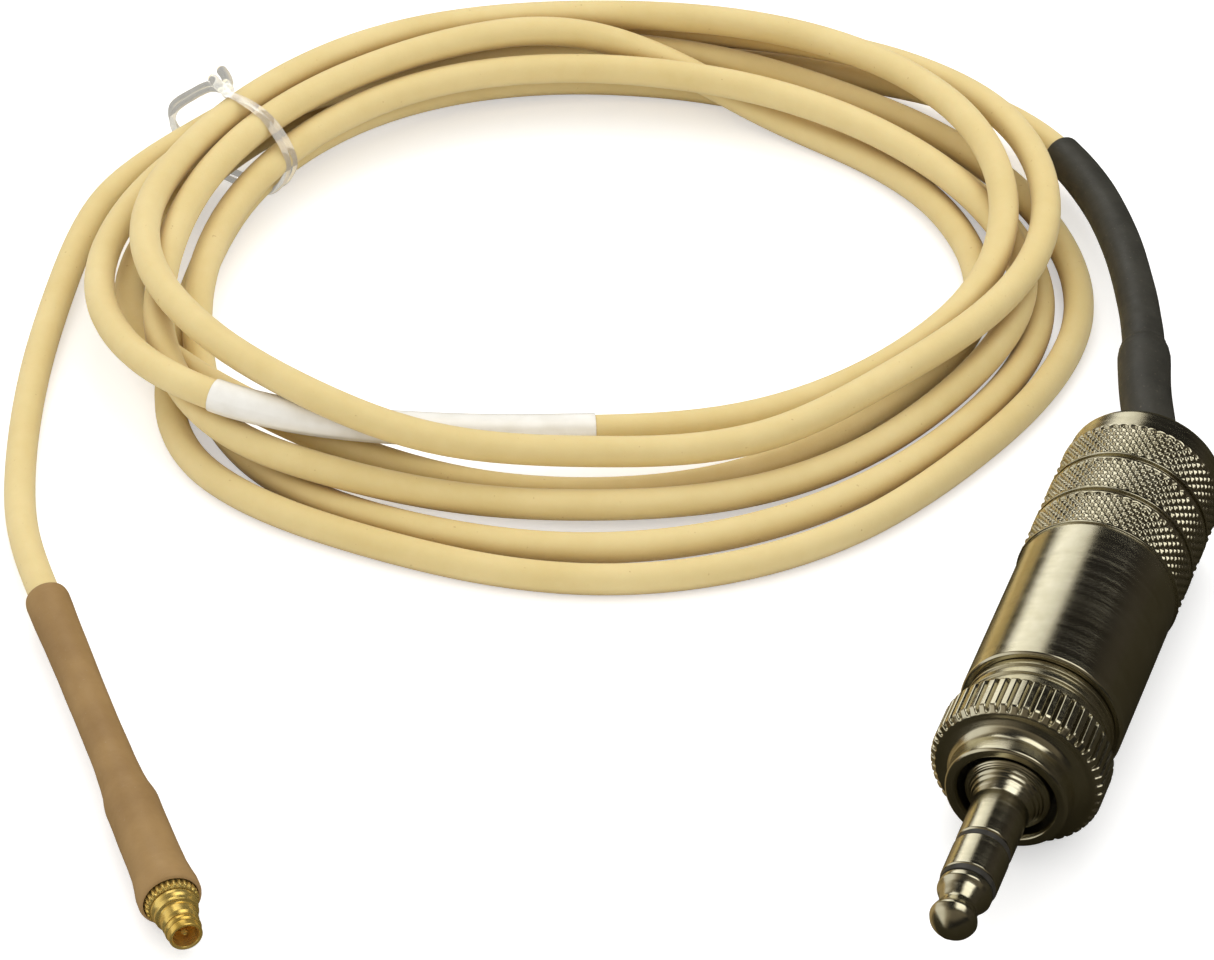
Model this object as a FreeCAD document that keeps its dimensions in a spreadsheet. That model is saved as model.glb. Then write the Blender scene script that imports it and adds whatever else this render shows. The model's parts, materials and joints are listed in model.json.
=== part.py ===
"""Detachable cable of a headset microphone.

A thin coiled cable with a gold micro coaxial snap plug on one end and a locking
3.5 mm three-contact plug on the other. Millimetres, +Z up, resting on Z = 0, origin
at the middle of the footprint.
"""
import FreeCAD, Part
import math
import os

import Sketcher
from FreeCAD import Placement, Rotation, Vector

doc = FreeCAD.newDocument("headset_cable")

# ---------------------------------------------------------------- driving dimensions
SIZES = [
    # cable, from the outside in
    ("cable_radius", 1.0), ("jacket_bore", 0.70), ("shield_radius", 0.64), ("shield_bore", 0.52),
    ("insulation_radius", 0.46), ("insulation_bore", 0.22), ("conductor_radius", 0.16),
    ("strand_pitch", 2.2), ("slip", 0.02),
    # coil: middle, half-width and half-depth of the mean lap
    ("coil_x", -0.656), ("coil_y", 16.814), ("coil_half_width", 30.0), ("coil_half_depth", 27.0),
    # where the two plugs lie: reference point, heading from -Y towards -X, height of the axis
    ("jack_x", 24.014), ("jack_y", -34.716), ("jack_heading", 18.99), ("jack_height", 5.35),
    ("snap_x", -24.256), ("snap_y", -43.286), ("snap_heading", -18.8), ("snap_height", 2.0),
    # jack finger, measured forward of the boss face
    ("finger_radius", 1.75), ("root_cone", 1.4), ("sleeve_front", 5.0), ("ring_rear", 5.4),
    ("ring_front", 8.1), ("tip_rear", 8.5), ("tip_end", 12.4), ("tip_waist_radius", 1.12),
    ("tip_ball_radius", 1.47), ("tip_rod_radius", 0.50), ("inner_tube_radius", 0.72),
    ("ring_tube_radius", 1.0), ("outer_tube_radius", 1.25), ("insulator_step", 0.04),
    ("insulator_taper", 0.04),
    # plug body and its fixed stop collar, measured back from the boss face
    ("boss_radius", 2.65), ("boss_neck", 2.45), ("boss_neck_front", 2.5), ("shoulder_radius", 3.6),
    ("shoulder_front", 4.2),
    ("thread_radius", 4.25), ("thread_front", 7.25), ("thread_rear", 10.75),
    ("collar_radius", 4.65), ("collar_front", 4.7), ("collar_groove", 0.15),
    # lock nut and the guide ring inside it
    ("nut_radius", 5.35), ("nut_rear", 4.8), ("knurl_front", 1.9), ("nut_front", 0.3),
    ("nose_radius", 3.8), ("nose_bore", 3.05), ("recess_radius", 4.75), ("recess_depth", 2.3),
    ("knurl_count", 48), ("knurl_depth", 0.28), ("guide_inner", 2.5), ("guide_outer", 4.70),
    ("guide_front", 2.55), ("guide_length", 0.45),
    # handle
    ("handle_front", 7.2), ("handle_rear", 31.8), ("handle_radius", 5.08), ("handle_bore", 4.3),
    ("handle_wall", 1.2), ("handle_hole", 2.4), ("band_radius", 5.2), ("band_front", 19.8),
    ("band_length", 3.1), ("band_gap", 0.35), ("rim_length", 2.0), ("liner_outer", 4.2),
    ("liner_inner", 3.9), ("liner_front", 11.3), ("liner_rear", 29.4),
    # contacts inside the handle
    ("stack_front", 10.8), ("plate", 0.40), ("washer", 0.35), ("washer_radius", 2.1),
    ("lug_disc_radius", 1.9), ("lug_length", 4.4), ("lug_width", 1.4), ("lug_reach", 2.6),
    ("clamp_disc_radius", 2.6),
    ("clamp_rear", 21.6), ("clamp_band", 1.6), ("clamp_band_radius", 1.4), ("clamp_bore", 1.05),
    # heat-shrink over the cable at the jack
    ("shrink_inner_radius", 1.37), ("shrink_outer_radius", 1.68), ("shrink_gap", 0.06),
    ("core_start", 17.8), ("jacket_start", 1.2), ("shrink_inner_from", 4.8), ("shrink_inner_to", 51.0),
    ("shrink_outer_from", 8.7), ("shrink_outer_to", 27.0),
    # snap plug, measured back from its mouth
    ("mouth_radius", 0.8), ("nose_tip_radius", 1.05), ("nose_length", 0.9), ("neck_radius", 1.15),
    ("neck_rear", 1.9), ("shoulder_rear", 2.7), ("dome_radius", 1.45), ("shell_rear", 6.0),
    ("shell_bore", 0.72), ("mouth_depth", 1.6), ("snap_groove", 0.95), ("snap_groove_front", 0.45),
    ("snap_groove_length", 0.5), ("snap_ring_radius", 1.12), ("dielectric_bore", 0.24),
    ("pin_radius", 0.2), ("pin_front", 0.3), ("pin_rear", 7.0), ("dielectric_rear", 5.9),
    ("ferrule_radius", 1.64), ("ferrule_front", 2.75), ("ferrule_rear", 11.6),
    ("ferrule_crest", 5.0), ("ferrule_tube_radius", 1.5), ("ferrule_teeth", 28), ("ferrule_bore", 1.06),
    ("core_end", 7.2), ("jacket_end", 9.0),
    # brown heat-shrink over the snap plug
    ("brown_front", 3.25), ("brown_flare_radius", 1.95), ("brown_flare", 2.3), ("brown_radius", 1.72),
    ("brown_step", 12.1), ("brown_waist", 15.6), ("brown_waist_radius", 1.30),
    ("brown_end_radius", 1.43), ("brown_rear", 31.8), ("brown_gap", 0.06),
    # tie band and label
    ("tie_hour", 1.93), ("tie_wire", 0.26), ("tie_gap", 0.10), ("tie_loop", 2.2),
    ("label_from_hour", 52.05), ("label_to_hour", 54.05), ("label_gap", 0.02), ("label_thickness", 0.04),
]
sizes = doc.addObject("Spreadsheet::Sheet", "sizes")
for row, (alias, value) in enumerate(SIZES, start=1):
    sizes.set(f"A{row}", alias)
    sizes.set(f"B{row}", str(value))
    sizes.setAlias(f"B{row}", alias)
doc.recompute()


def size(alias):
    return float(getattr(sizes, alias))


def lying(prefix):
    """Placement of a plug: local +Z runs out of its nose, local +Y points up."""
    heading = math.radians(size(prefix + "_heading"))
    nose = Vector(-math.sin(heading), -math.cos(heading), 0)
    up = Vector(0, 0, 1)
    turn = Rotation(up.cross(nose), up, nose, "ZYX")
    return Placement(Vector(size(prefix + "_x"), size(prefix + "_y"), size(prefix + "_height")), turn)


JACK = lying("jack")
SNAP = lying("snap")

# ---------------------------------------------------------------- turned pieces
def origin_feature(body, role):
    return next(item for item in body.Origin.OriginFeatures if item.Role == role)


def sketch_on(body, plane, name):
    sketch = body.newObject("Sketcher::SketchObject", name)
    sketch.AttachmentSupport = [(origin_feature(body, plane), "")]
    sketch.MapMode = "FlatFace"
    return sketch


def pin_point(sketch, line, x_rule, y_rule):
    """Tie the start point of a sketch line to two spreadsheet formulas."""
    for kind, rule, axis in (("DistanceX", x_rule, -2), ("DistanceY", y_rule, -1)):
        if rule == "0":
            sketch.addConstraint(Sketcher.Constraint("PointOnObject", line, 1, axis))
            continue
        value = sketch.evalExpression(rule)
        index = sketch.addConstraint(Sketcher.Constraint(kind, -1, 1, line, 1, float(value)))
        sketch.setExpression(f"Constraints[{index}]", rule)


def in_sheet(rule):
    """Write a formula of plain aliases as a formula that names the sheet."""
    words = rule.replace("(", " ( ").replace(")", " ) ").split()
    return " ".join("sizes." + word if word[0].isalpha() else word for word in words)


def closed_outline(sketch, corners):
    """Closed polygon whose corners are pairs of spreadsheet formulas."""
    rules = [(in_sheet(x), in_sheet(y)) for x, y in corners]
    points = [Vector(float(sketch.evalExpression(x)), float(sketch.evalExpression(y)), 0) for x, y in rules]
    for start, end in zip(points, points[1:] + points[:1]):
        sketch.addGeometry(Part.LineSegment(start, end), False)
    count = len(points)
    for line in range(count):
        sketch.addConstraint(Sketcher.Constraint("Coincident", line, 2, (line + 1) % count, 1))
    for line, (x_rule, y_rule) in enumerate(rules):
        pin_point(sketch, line, x_rule, y_rule)


def turned(name, outline, placement):
    """Body of revolution about local Z; outline corners are (radius, height) formulas."""
    body = doc.addObject("PartDesign::Body", name)
    body.Label = name
    sketch = sketch_on(body, "XZ_Plane", name + "_outline")
    closed_outline(sketch, outline)
    turn = body.newObject("PartDesign::Revolution", name + "_turn")
    turn.Profile = sketch
    turn.ReferenceAxis = (sketch, ["V_Axis"])
    turn.Angle = 360
    body.Placement = placement
    doc.recompute()
    return body


def notch(body, name, corners, plane_offset, length_rule):
    """Cut a groove with the given cross-section along local Z, rearward from the offset plane."""
    before = body.Tip.Shape.Volume
    sketch = sketch_on(body, "XY_Plane", name + "_outline")
    sketch.setExpression("AttachmentOffset.Base.z", in_sheet(plane_offset))
    closed_outline(sketch, corners)
    doc.recompute()
    cut = body.newObject("PartDesign::Pocket", name + "_cut")
    cut.Profile = sketch
    cut.setExpression("Length", in_sheet(length_rule))
    body.Tip = cut
    doc.recompute()
    if cut.Shape.Volume >= before:
        raise RuntimeError(f"{body.Label}: the groove cut nothing")
    return cut


def repeat_round(body, cut, name, count_rule):
    ring = body.newObject("PartDesign::PolarPattern", name)
    ring.Originals = [cut]
    ring.Axis = (origin_feature(body, "Z_Axis"), [""])
    ring.Angle = 360
    ring.setExpression("Occurrences", in_sheet(count_rule))
    body.Tip = ring
    doc.recompute()


# ---------------------------------------------------------------- jack plug
def jack_plug():
    turned("plug_body", [
        ("outer_tube_radius", "0 - thread_rear"), ("outer_tube_radius", "sleeve_front"),
        ("finger_radius - 0.12", "sleeve_front"), ("finger_radius", "sleeve_front - 0.12"),
        ("finger_radius", "root_cone"), ("finger_radius + 0.25", "root_cone * 0.5"),
        ("boss_radius - 0.3", "0.12"), ("boss_radius - 0.1", "0"), ("boss_radius", "0 - 0.1"),
        ("boss_radius", "0 - boss_neck_front"), ("boss_neck", "0 - boss_neck_front"),
        ("boss_neck", "0 - shoulder_front"), ("shoulder_radius", "0 - shoulder_front"),
        ("shoulder_radius", "0 - thread_front"), ("thread_radius", "0 - thread_front"),
        ("thread_radius", "0 - thread_rear")], JACK)
    turned("plug_tip", [
        ("0", "tip_end"), ("0.45", "tip_end"), ("tip_ball_radius - 0.17", "tip_end - 0.85"),
        ("tip_ball_radius", "tip_end - 1.3"), ("tip_ball_radius - 0.09", "tip_end - 1.6"),
        ("tip_waist_radius", "tip_end - 2.2"), ("tip_waist_radius + 0.18", "tip_end - 2.7"),
        ("finger_radius - 0.3", "tip_rear + 0.75"), ("finger_radius - 0.09", "tip_rear + 0.45"),
        ("finger_radius - 0.09", "tip_rear + slip"), ("tip_rod_radius", "tip_rear + slip"),
        ("tip_rod_radius", "0 - stack_front - 2.3"), ("0", "0 - stack_front - 2.3")], JACK)
    turned("tip_insulator", [
        ("tip_rod_radius + slip", "tip_rear"), ("finger_radius - insulator_step - insulator_taper", "tip_rear"),
        ("finger_radius - insulator_step", "ring_front + slip"), ("inner_tube_radius", "ring_front + slip"),
        ("inner_tube_radius", "0 - stack_front - 1.5"), ("tip_rod_radius + slip", "0 - stack_front - 1.5")],
        JACK)
    turned("plug_ring", [
        ("inner_tube_radius + slip", "ring_front"), ("finger_radius - 0.08", "ring_front"),
        ("finger_radius", "ring_front - 0.08"), ("finger_radius", "ring_rear + 0.08"),
        ("finger_radius - 0.08", "ring_rear"), ("ring_tube_radius", "ring_rear"),
        ("ring_tube_radius", "0 - stack_front - 1.1"), ("inner_tube_radius + slip", "0 - stack_front - 1.1")],
        JACK)
    turned("ring_insulator", [
        ("ring_tube_radius + slip", "ring_rear - slip"),
        ("finger_radius - insulator_step - insulator_taper", "ring_rear - slip"),
        ("finger_radius - insulator_step", "sleeve_front + slip"),
        ("outer_tube_radius - slip", "sleeve_front + slip"),
        ("outer_tube_radius - slip", "0 - stack_front - plate"),
        ("ring_tube_radius + slip", "0 - stack_front - plate")], JACK)
    turned("stop_collar", [
        ("shoulder_radius + slip", "0 - collar_front"), ("collar_radius - 0.12", "0 - collar_front"),
        ("collar_radius", "0 - collar_front - 0.12"), ("collar_radius", "0 - collar_front - 0.95"),
        ("collar_radius - collar_groove", "0 - collar_front - 1.03"),
        ("collar_radius - collar_groove", "0 - collar_front - 1.2"),
        ("collar_radius", "0 - collar_front - 1.28"), ("collar_radius", "0 - collar_front - 1.7"),
        ("collar_radius - collar_groove", "0 - collar_front - 1.78"),
        ("collar_radius - collar_groove", "0 - collar_front - 1.95"),
        ("collar_radius", "0 - collar_front - 2.03"), ("collar_radius", "0 - thread_front + 0.1"),
        ("shoulder_radius + slip", "0 - thread_front + 0.1")], JACK)
    turned("guide_ring", [
        ("guide_inner", "0 - guide_front"), ("guide_outer", "0 - guide_front"),
        ("guide_outer", "0 - guide_front - guide_length"), ("guide_inner", "0 - guide_front - guide_length")],
        JACK)


def lock_nut():
    nut = turned("lock_nut", [
        ("nose_bore", "nut_front - 0.1"), ("nose_bore + 0.1", "nut_front"), ("nose_radius - 0.1", "nut_front"),
        ("nose_radius", "nut_front - 0.1"), ("nose_radius", "0 - 0.9"), ("nose_radius + 0.15", "0 - 1.35"),
        ("nose_radius + 0.55", "0 - 1.7"), ("nut_radius - 0.35", "0 - knurl_front + 0.05"),
        ("nut_radius - 0.1", "0 - knurl_front"), ("nut_radius", "0 - knurl_front - 0.1"),
        ("nut_radius", "0 - nut_rear + 0.35"), ("nut_radius - 0.25", "0 - nut_rear"),
        ("recess_radius", "0 - nut_rear"), ("recess_radius", "0 - nut_rear + recess_depth"),
        ("nose_bore", "0 - nut_rear + recess_depth")], JACK)
    groove = notch(nut, "knurl", [
        ("nut_radius + 0.25", "0.33"), ("nut_radius - knurl_depth", "0"), ("nut_radius + 0.25", "0 - 0.33")],
        "0 - knurl_front + 0.2", "nut_rear - knurl_front - 0.2")
    repeat_round(nut, groove, "knurl_ring", "knurl_count")


def handle():
    """Barrel with three raised bands, a rounded rear rim and a hole for the cable."""
    outline = [("handle_bore", "0 - handle_front"), ("handle_radius - 0.13", "0 - handle_front"),
               ("handle_radius", "0 - handle_front - 0.13"), ("handle_radius", "0 - band_front")]
    for band in range(3):
        start = f"band_front + {band} * ( band_length + band_gap )"
        outline += [("band_radius", f"0 - ( {start} )"), ("band_radius", f"0 - ( {start} + band_length )")]
        if band < 2:
            outline += [("handle_radius - 0.12", f"0 - ( {start} + band_length )"),
                        ("handle_radius - 0.12", f"0 - ( {start} + band_length + band_gap )")]
    outline += [("handle_radius + 0.02", "0 - handle_rear + rim_length"),
                ("handle_radius - 0.04", "0 - handle_rear + 0.6"),
                ("handle_radius - 0.25", "0 - handle_rear + 0.2"), ("handle_radius - 0.6", "0 - handle_rear"),
                ("handle_hole", "0 - handle_rear"), ("handle_hole", "0 - handle_rear + handle_wall"),
                ("handle_bore", "0 - handle_rear + handle_wall")]
    turned("handle", outline, JACK)
    turned("handle_liner", [
        ("liner_inner", "0 - liner_front"), ("liner_outer", "0 - liner_front"),
        ("liner_outer", "0 - liner_rear"), ("liner_inner", "0 - liner_rear")], JACK)


# ---------------------------------------------------------------- contacts inside the handle
def cylinder(name, radius_rule, height_rule, base_rule):
    shape = doc.addObject("Part::Cylinder", name)
    shape.setExpression("Radius", in_sheet(radius_rule))
    shape.setExpression("Height", in_sheet(height_rule))
    shape.setExpression("Placement.Base.z", in_sheet(base_rule))
    return shape


def block(name, box_sizes, corner):
    shape = doc.addObject("Part::Box", name)
    for side, rule in zip(("Length", "Width", "Height"), box_sizes):
        shape.setExpression(side, in_sheet(rule))
    for axis, rule in zip("xyz", corner):
        shape.setExpression("Placement.Base." + axis, in_sheet(rule))
    return shape


def fused(name, pieces):
    shape = doc.addObject("Part::MultiFuse", name)
    shape.Shapes = pieces
    return shape


def drilled(name, base, hole, placement):
    shape = doc.addObject("Part::Cut", name)
    shape.Label = name
    shape.Base = base
    shape.Tool = hole
    doc.recompute()
    shape.Placement = placement
    doc.recompute()
    return shape


def lug(name, front_rule, bore_rule, turn):
    """Terminal disc on the contact stack with a solder tail that runs back to the cable."""
    disc = cylinder(name + "_disc", "lug_disc_radius", "plate", f"0 - ( {front_rule} ) - plate")
    arm = block(name + "_arm", ("lug_reach - lug_disc_radius + 0.7", "lug_width", "plate"),
                ("lug_disc_radius - 0.7", "0 - lug_width / 2", f"0 - ( {front_rule} ) - plate"))
    tail = block(name + "_tail", ("plate", "lug_width", "lug_length"),
                 ("lug_reach - plate", "0 - lug_width / 2", f"0 - ( {front_rule} ) - lug_length"))
    hole = cylinder(name + "_hole", bore_rule, "3 * plate", f"0 - ( {front_rule} ) - 2 * plate")
    spin = Placement(Vector(), Rotation(Vector(0, 0, 1), turn))
    drilled(name, fused(name + "_blank", [disc, arm, tail]), hole, JACK.multiply(spin))


def cable_clamp():
    disc = cylinder("clamp_disc", "clamp_disc_radius", "plate", "0 - stack_front - plate")
    strap = block("clamp_strap", ("plate", "lug_width", "clamp_rear - stack_front"),
                  ("clamp_disc_radius - plate", "0 - lug_width / 2", "0 - clamp_rear"))
    link = block("clamp_link", ("clamp_disc_radius - clamp_bore - 0.1", "lug_width", "clamp_band"),
                 ("clamp_bore + 0.1", "0 - lug_width / 2", "0 - clamp_rear"))
    band = cylinder("clamp_ring", "clamp_band_radius", "clamp_band", "0 - clamp_rear")
    blank = fused("clamp_blank", [disc, strap, link, band])
    stack_hole = cylinder("clamp_stack_hole", "outer_tube_radius", "3 * plate", "0 - stack_front - 2 * plate")
    cable_hole = cylinder("clamp_cable_hole", "clamp_bore", "clamp_band + 1", "0 - clamp_rear - 0.5")
    drilled("cable_clamp", blank, fused("clamp_holes", [stack_hole, cable_hole]), JACK)


def contact_stack():
    cable_clamp()
    turned("front_washer", [
        ("ring_tube_radius + slip", "0 - stack_front - plate - slip"),
        ("washer_radius", "0 - stack_front - plate - slip"),
        ("washer_radius", "0 - stack_front - plate - washer"),
        ("ring_tube_radius + slip", "0 - stack_front - plate - washer")], JACK)
    lug("ring_terminal", "stack_front + plate + washer + slip", "ring_tube_radius + slip", 120)
    turned("rear_washer", [
        ("inner_tube_radius + slip", "0 - stack_front - 2 * plate - washer - 2 * slip"),
        ("washer_radius", "0 - stack_front - 2 * plate - washer - 2 * slip"),
        ("washer_radius", "0 - stack_front - 2 * plate - 2 * washer"),
        ("inner_tube_radius + slip", "0 - stack_front - 2 * plate - 2 * washer")], JACK)
    lug("tip_terminal", "stack_front + 2 * plate + 2 * washer + 2 * slip", "tip_rod_radius + slip", 240)


# ---------------------------------------------------------------- snap plug
def snap_plug():
    turned("connector_shell", [
        ("mouth_radius", "0 - 0.08"), ("mouth_radius + 0.08", "0"), ("nose_tip_radius - 0.08", "0"),
        ("nose_tip_radius - 0.03", "0 - 0.08"), ("nose_tip_radius", "0 - snap_groove_front"),
        ("snap_groove", "0 - snap_groove_front"), ("snap_groove", "0 - snap_groove_front - snap_groove_length"),
        ("nose_tip_radius", "0 - snap_groove_front - snap_groove_length"),
        ("nose_tip_radius + 0.02", "0 - nose_length - 0.15"), ("neck_radius", "0 - nose_length - 0.3"),
        ("neck_radius", "0 - neck_rear"), ("neck_radius + 0.2", "0 - neck_rear - 0.05"),
        ("neck_radius + 0.2", "0 - neck_rear - 0.3"), ("dome_radius", "0 - shoulder_rear + 0.25"),
        ("dome_radius", "0 - shoulder_rear"), ("ferrule_bore - slip", "0 - shoulder_rear"),
        ("ferrule_bore - slip", "0 - shell_rear"), ("shell_bore", "0 - shell_rear"),
        ("shell_bore", "0 - mouth_depth + slip"), ("mouth_radius", "0 - mouth_depth + slip")], SNAP)
    ring = turned("snap_ring", [
        ("snap_groove + slip", "0 - snap_groove_front - slip"),
        ("snap_ring_radius - 0.08", "0 - snap_groove_front - slip"),
        ("snap_ring_radius", "0 - snap_groove_front - snap_groove_length / 2"),
        ("snap_ring_radius - 0.08", "0 - snap_groove_front - snap_groove_length + slip"),
        ("snap_groove + slip", "0 - snap_groove_front - snap_groove_length + slip")], SNAP)
    notch(ring, "snap_split", [
        ("snap_groove - 0.2", "0.1"), ("snap_groove - 0.2", "0 - 0.1"), ("snap_ring_radius + 0.2", "0 - 0.1"),
        ("snap_ring_radius + 0.2", "0.1")], "0", "2 * nose_length")
    turned("dielectric", [
        ("dielectric_bore", "0 - mouth_depth"), ("shell_bore - slip", "0 - mouth_depth"),
        ("shell_bore - slip", "0 - dielectric_rear"), ("dielectric_bore", "0 - dielectric_rear")], SNAP)
    turned("centre_pin", [
        ("0", "0 - pin_front"), ("pin_radius / 2", "0 - pin_front"), ("pin_radius", "0 - pin_front - 0.2"),
        ("pin_radius", "0 - pin_rear"), ("0", "0 - pin_rear")], SNAP)
    crimp = turned("crimp_ferrule", [
        ("ferrule_bore", "0 - ferrule_front"), ("ferrule_radius - 0.12", "0 - ferrule_front"),
        ("ferrule_radius", "0 - ferrule_front - 0.12"), ("ferrule_radius", "0 - ferrule_crest"),
        ("ferrule_tube_radius", "0 - ferrule_crest - 0.15"), ("ferrule_tube_radius", "0 - ferrule_rear"),
        ("ferrule_bore", "0 - ferrule_rear")], SNAP)
    groove = notch(crimp, "serration", [
        ("ferrule_radius + 0.1", "0.12"), ("ferrule_radius - 0.1", "0"), ("ferrule_radius + 0.1", "0 - 0.12")],
        "0 - ferrule_front + 0.1", "ferrule_crest - ferrule_front + 0.1")
    repeat_round(crimp, groove, "serration_ring", "ferrule_teeth")
    turned("brown_heatshrink", [
        ("ferrule_radius + brown_gap", "0 - brown_front"), ("brown_flare_radius - 0.06", "0 - brown_front"),
        ("brown_flare_radius", "0 - brown_front - 0.15"), ("brown_flare_radius", "0 - brown_front - 0.9"),
        ("brown_radius", "0 - brown_front - brown_flare"), ("brown_radius", "0 - brown_step"),
        ("brown_radius - 0.1", "0 - brown_step - 0.6"), ("brown_waist_radius + 0.05", "0 - brown_waist"),
        ("brown_waist_radius", "0 - brown_waist - 3"), ("brown_waist_radius", "0 - brown_rear + 8"),
        ("brown_end_radius", "0 - brown_rear + 2"), ("brown_end_radius", "0 - brown_rear + 0.15"),
        ("brown_end_radius - 0.12", "0 - brown_rear"), ("cable_radius + brown_gap", "0 - brown_rear"),
        ("cable_radius + brown_gap", "0 - brown_waist"),
        ("ferrule_tube_radius + brown_gap", "0 - brown_step + 0.2"),
        ("ferrule_tube_radius + brown_gap", "0 - ferrule_crest - 0.6"),
        ("ferrule_radius + brown_gap", "0 - ferrule_crest - 0.1")], SNAP)


# ---------------------------------------------------------------- lie of the cable
HOURS = 12
# Laps of the coil from the jack end to the snap end. A lap starts at the back and runs by
# the left, the front and the right; each pair is one hour of it: how far the cable lies
# outside the mean oval, and the height of its centre.
LAPS = (
    ((0.4, 1.0), (0.2, 1.7), (0.3, 1.7), (0.7, 1.9), (-3.2, 4.2), (-7.2, 1.9),
     (-8.2, 1.0), (-8.2, 1.0), (-8.0, 1.0), (-4.5, 1.0), (-3.2, 1.0), (-2.8, 1.0)),
    ((-1.8, 4.9), (-2.2, 5.4), (-2.9, 5.4), (-2.4, 4.6), (-0.6, 2.6), (-4.2, 1.2),
     (-6.1, 1.0), (-5.8, 1.0), (-4.6, 1.4), (-1.4, 2.8), (-2.2, 2.8), (-2.6, 2.8)),
    ((-2.8, 3.1), (-3.2, 3.6), (-3.8, 3.5), (-3.2, 2.7), (-1.8, 1.0), (-2.8, 1.0),
     (-3.1, 1.0), (-3.2, 1.0), (-2.8, 1.0), (-0.6, 1.0), (-1.0, 1.0), (-1.8, 1.0)),
    ((-1.8, 1.2), (-2.2, 1.7), (-3.4, 1.6), (-3.7, 1.0), (0.4, 1.0), (-0.6, 1.0),
     (-0.1, 1.0), (-0.3, 1.0), (-0.9, 1.0), (1.9, 1.0), (1.6, 1.0), (0.4, 1.2)),
    ((-0.7, 3.1), (-1.0, 3.5), (0.8, 3.7), (1.9, 3.6), (-1.4, 4.8), (-10.3, 2.9),
     (-12.9, 2.2), (-12.2, 2.2), (-9.8, 2.4), (-3.8, 3.8), (0.4, 4.9), (1.2, 5.0)),
    ((0.4, 4.9), (0.0, 5.4), (-0.8, 5.6), (-0.9, 6.1), (-3.4, 6.2), (-6.3, 4.6),
     (-8.5, 3.8), (-7.9, 3.8), (-7.0, 4.3), (-1.2, 4.9), (3.2, 4.6), (2.9, 3.4)),
    ((1.4, 3.1), (1.2, 3.5), (1.8, 3.3)),
)
# The two tails, as offsets from the middle of the coil and height of the centre.
JACK_TAIL = ((35.4, -18.8, 5.3), (35.2, -15.5, 5.2), (35.6, -9.5, 5.0), (35.6, -3.1, 4.4),
             (34.9, 4.1, 3.8), (33.7, 9.6, 3.3), (31.9, 14.2, 2.9), (28.3, 19.3, 2.4),
             (22.3, 23.8, 1.5), (14.5, 26.6, 1.0), (7.3, 27.4, 1.0))
SNAP_TAIL = ((-32.1, 10.1, 2.6), (-34.6, 3.1, 1.5), (-36.1, -6.1, 1.0), (-36.5, -15.6, 1.0),
             (-36.0, -22.1, 1.3))
COIL = Vector(size("coil_x"), size("coil_y"), 0)


def on_axis(plug, distance, side=0.0):
    """Point a distance behind the reference point of a plug, and a little to its side."""
    return plug.multVec(Vector(side, 0, -distance))


def on_lap(hour, reach, height):
    angle = math.radians(90.0 + hour * 360.0 / HOURS)
    oval = 1.0 / math.hypot(math.cos(angle) / size("coil_half_width"), math.sin(angle) / size("coil_half_depth"))
    return COIL + Vector((oval + reach) * math.cos(angle), (oval + reach) * math.sin(angle), height)


def rough_lie():
    stations = [station for lap in LAPS for station in lap]
    handle_rear = size("handle_rear")
    jack_end = [on_axis(JACK, distance) for distance in (size("core_start"), 22.5, 27.0)]
    jack_end.append(on_axis(JACK, handle_rear, 0.3))
    jack_end += [COIL + Vector(*offset) for offset in JACK_TAIL]
    laps = [on_lap(hour, reach, height) for hour, (reach, height) in enumerate(stations)]
    snap_end = [COIL + Vector(*offset) for offset in SNAP_TAIL]
    snap_end += [on_axis(SNAP, distance) for distance in (34.5, 30.0, 22.0, 14.0, size("core_end"))]
    return jack_end + laps + snap_end


def curve_through(points):
    """Smooth curve through points, timed so that close points do not make it swing."""
    times = [0.0]
    for start, end in zip(points, points[1:]):
        times.append(times[-1] + math.sqrt(start.distanceToPoint(end)))
    curve = Part.BSplineCurve()
    curve.interpolate(Points=points, Parameters=times)
    return curve


def close_pairs(points, reach, skip):
    """Index pairs of points closer than reach, leaving out near neighbours along the cable."""
    cells = {}
    for index, point in enumerate(points):
        key = (int(point[0] // reach), int(point[1] // reach), int(point[2] // reach))
        cells.setdefault(key, []).append(index)
    around = [(dx, dy, dz) for dx in (-1, 0, 1) for dy in (-1, 0, 1) for dz in (-1, 0, 1)]
    pairs = []
    for key, members in cells.items():
        for offset in around:
            for other in cells.get(tuple(a + b for a, b in zip(key, offset)), ()):
                for index in members:
                    if other - index > skip and math.dist(points[index], points[other]) < reach:
                        pairs.append((index, other))
    return pairs


def floor_under(point):
    """Lowest height of the cable's centre: on the floor, or lifted by the tie that runs under it."""
    bearing = math.degrees(math.atan2(point[1] - COIL.y, point[0] - COIL.x)) - 90.0
    away = abs((bearing - size("tie_hour") * 30.0 + 180.0) % 360.0 - 180.0)
    lift = 2 * size("tie_wire") + size("tie_gap") + 0.2
    return size("cable_radius") + lift * math.cos(math.radians(min(away * 2.5, 90.0))) ** 2


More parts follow.
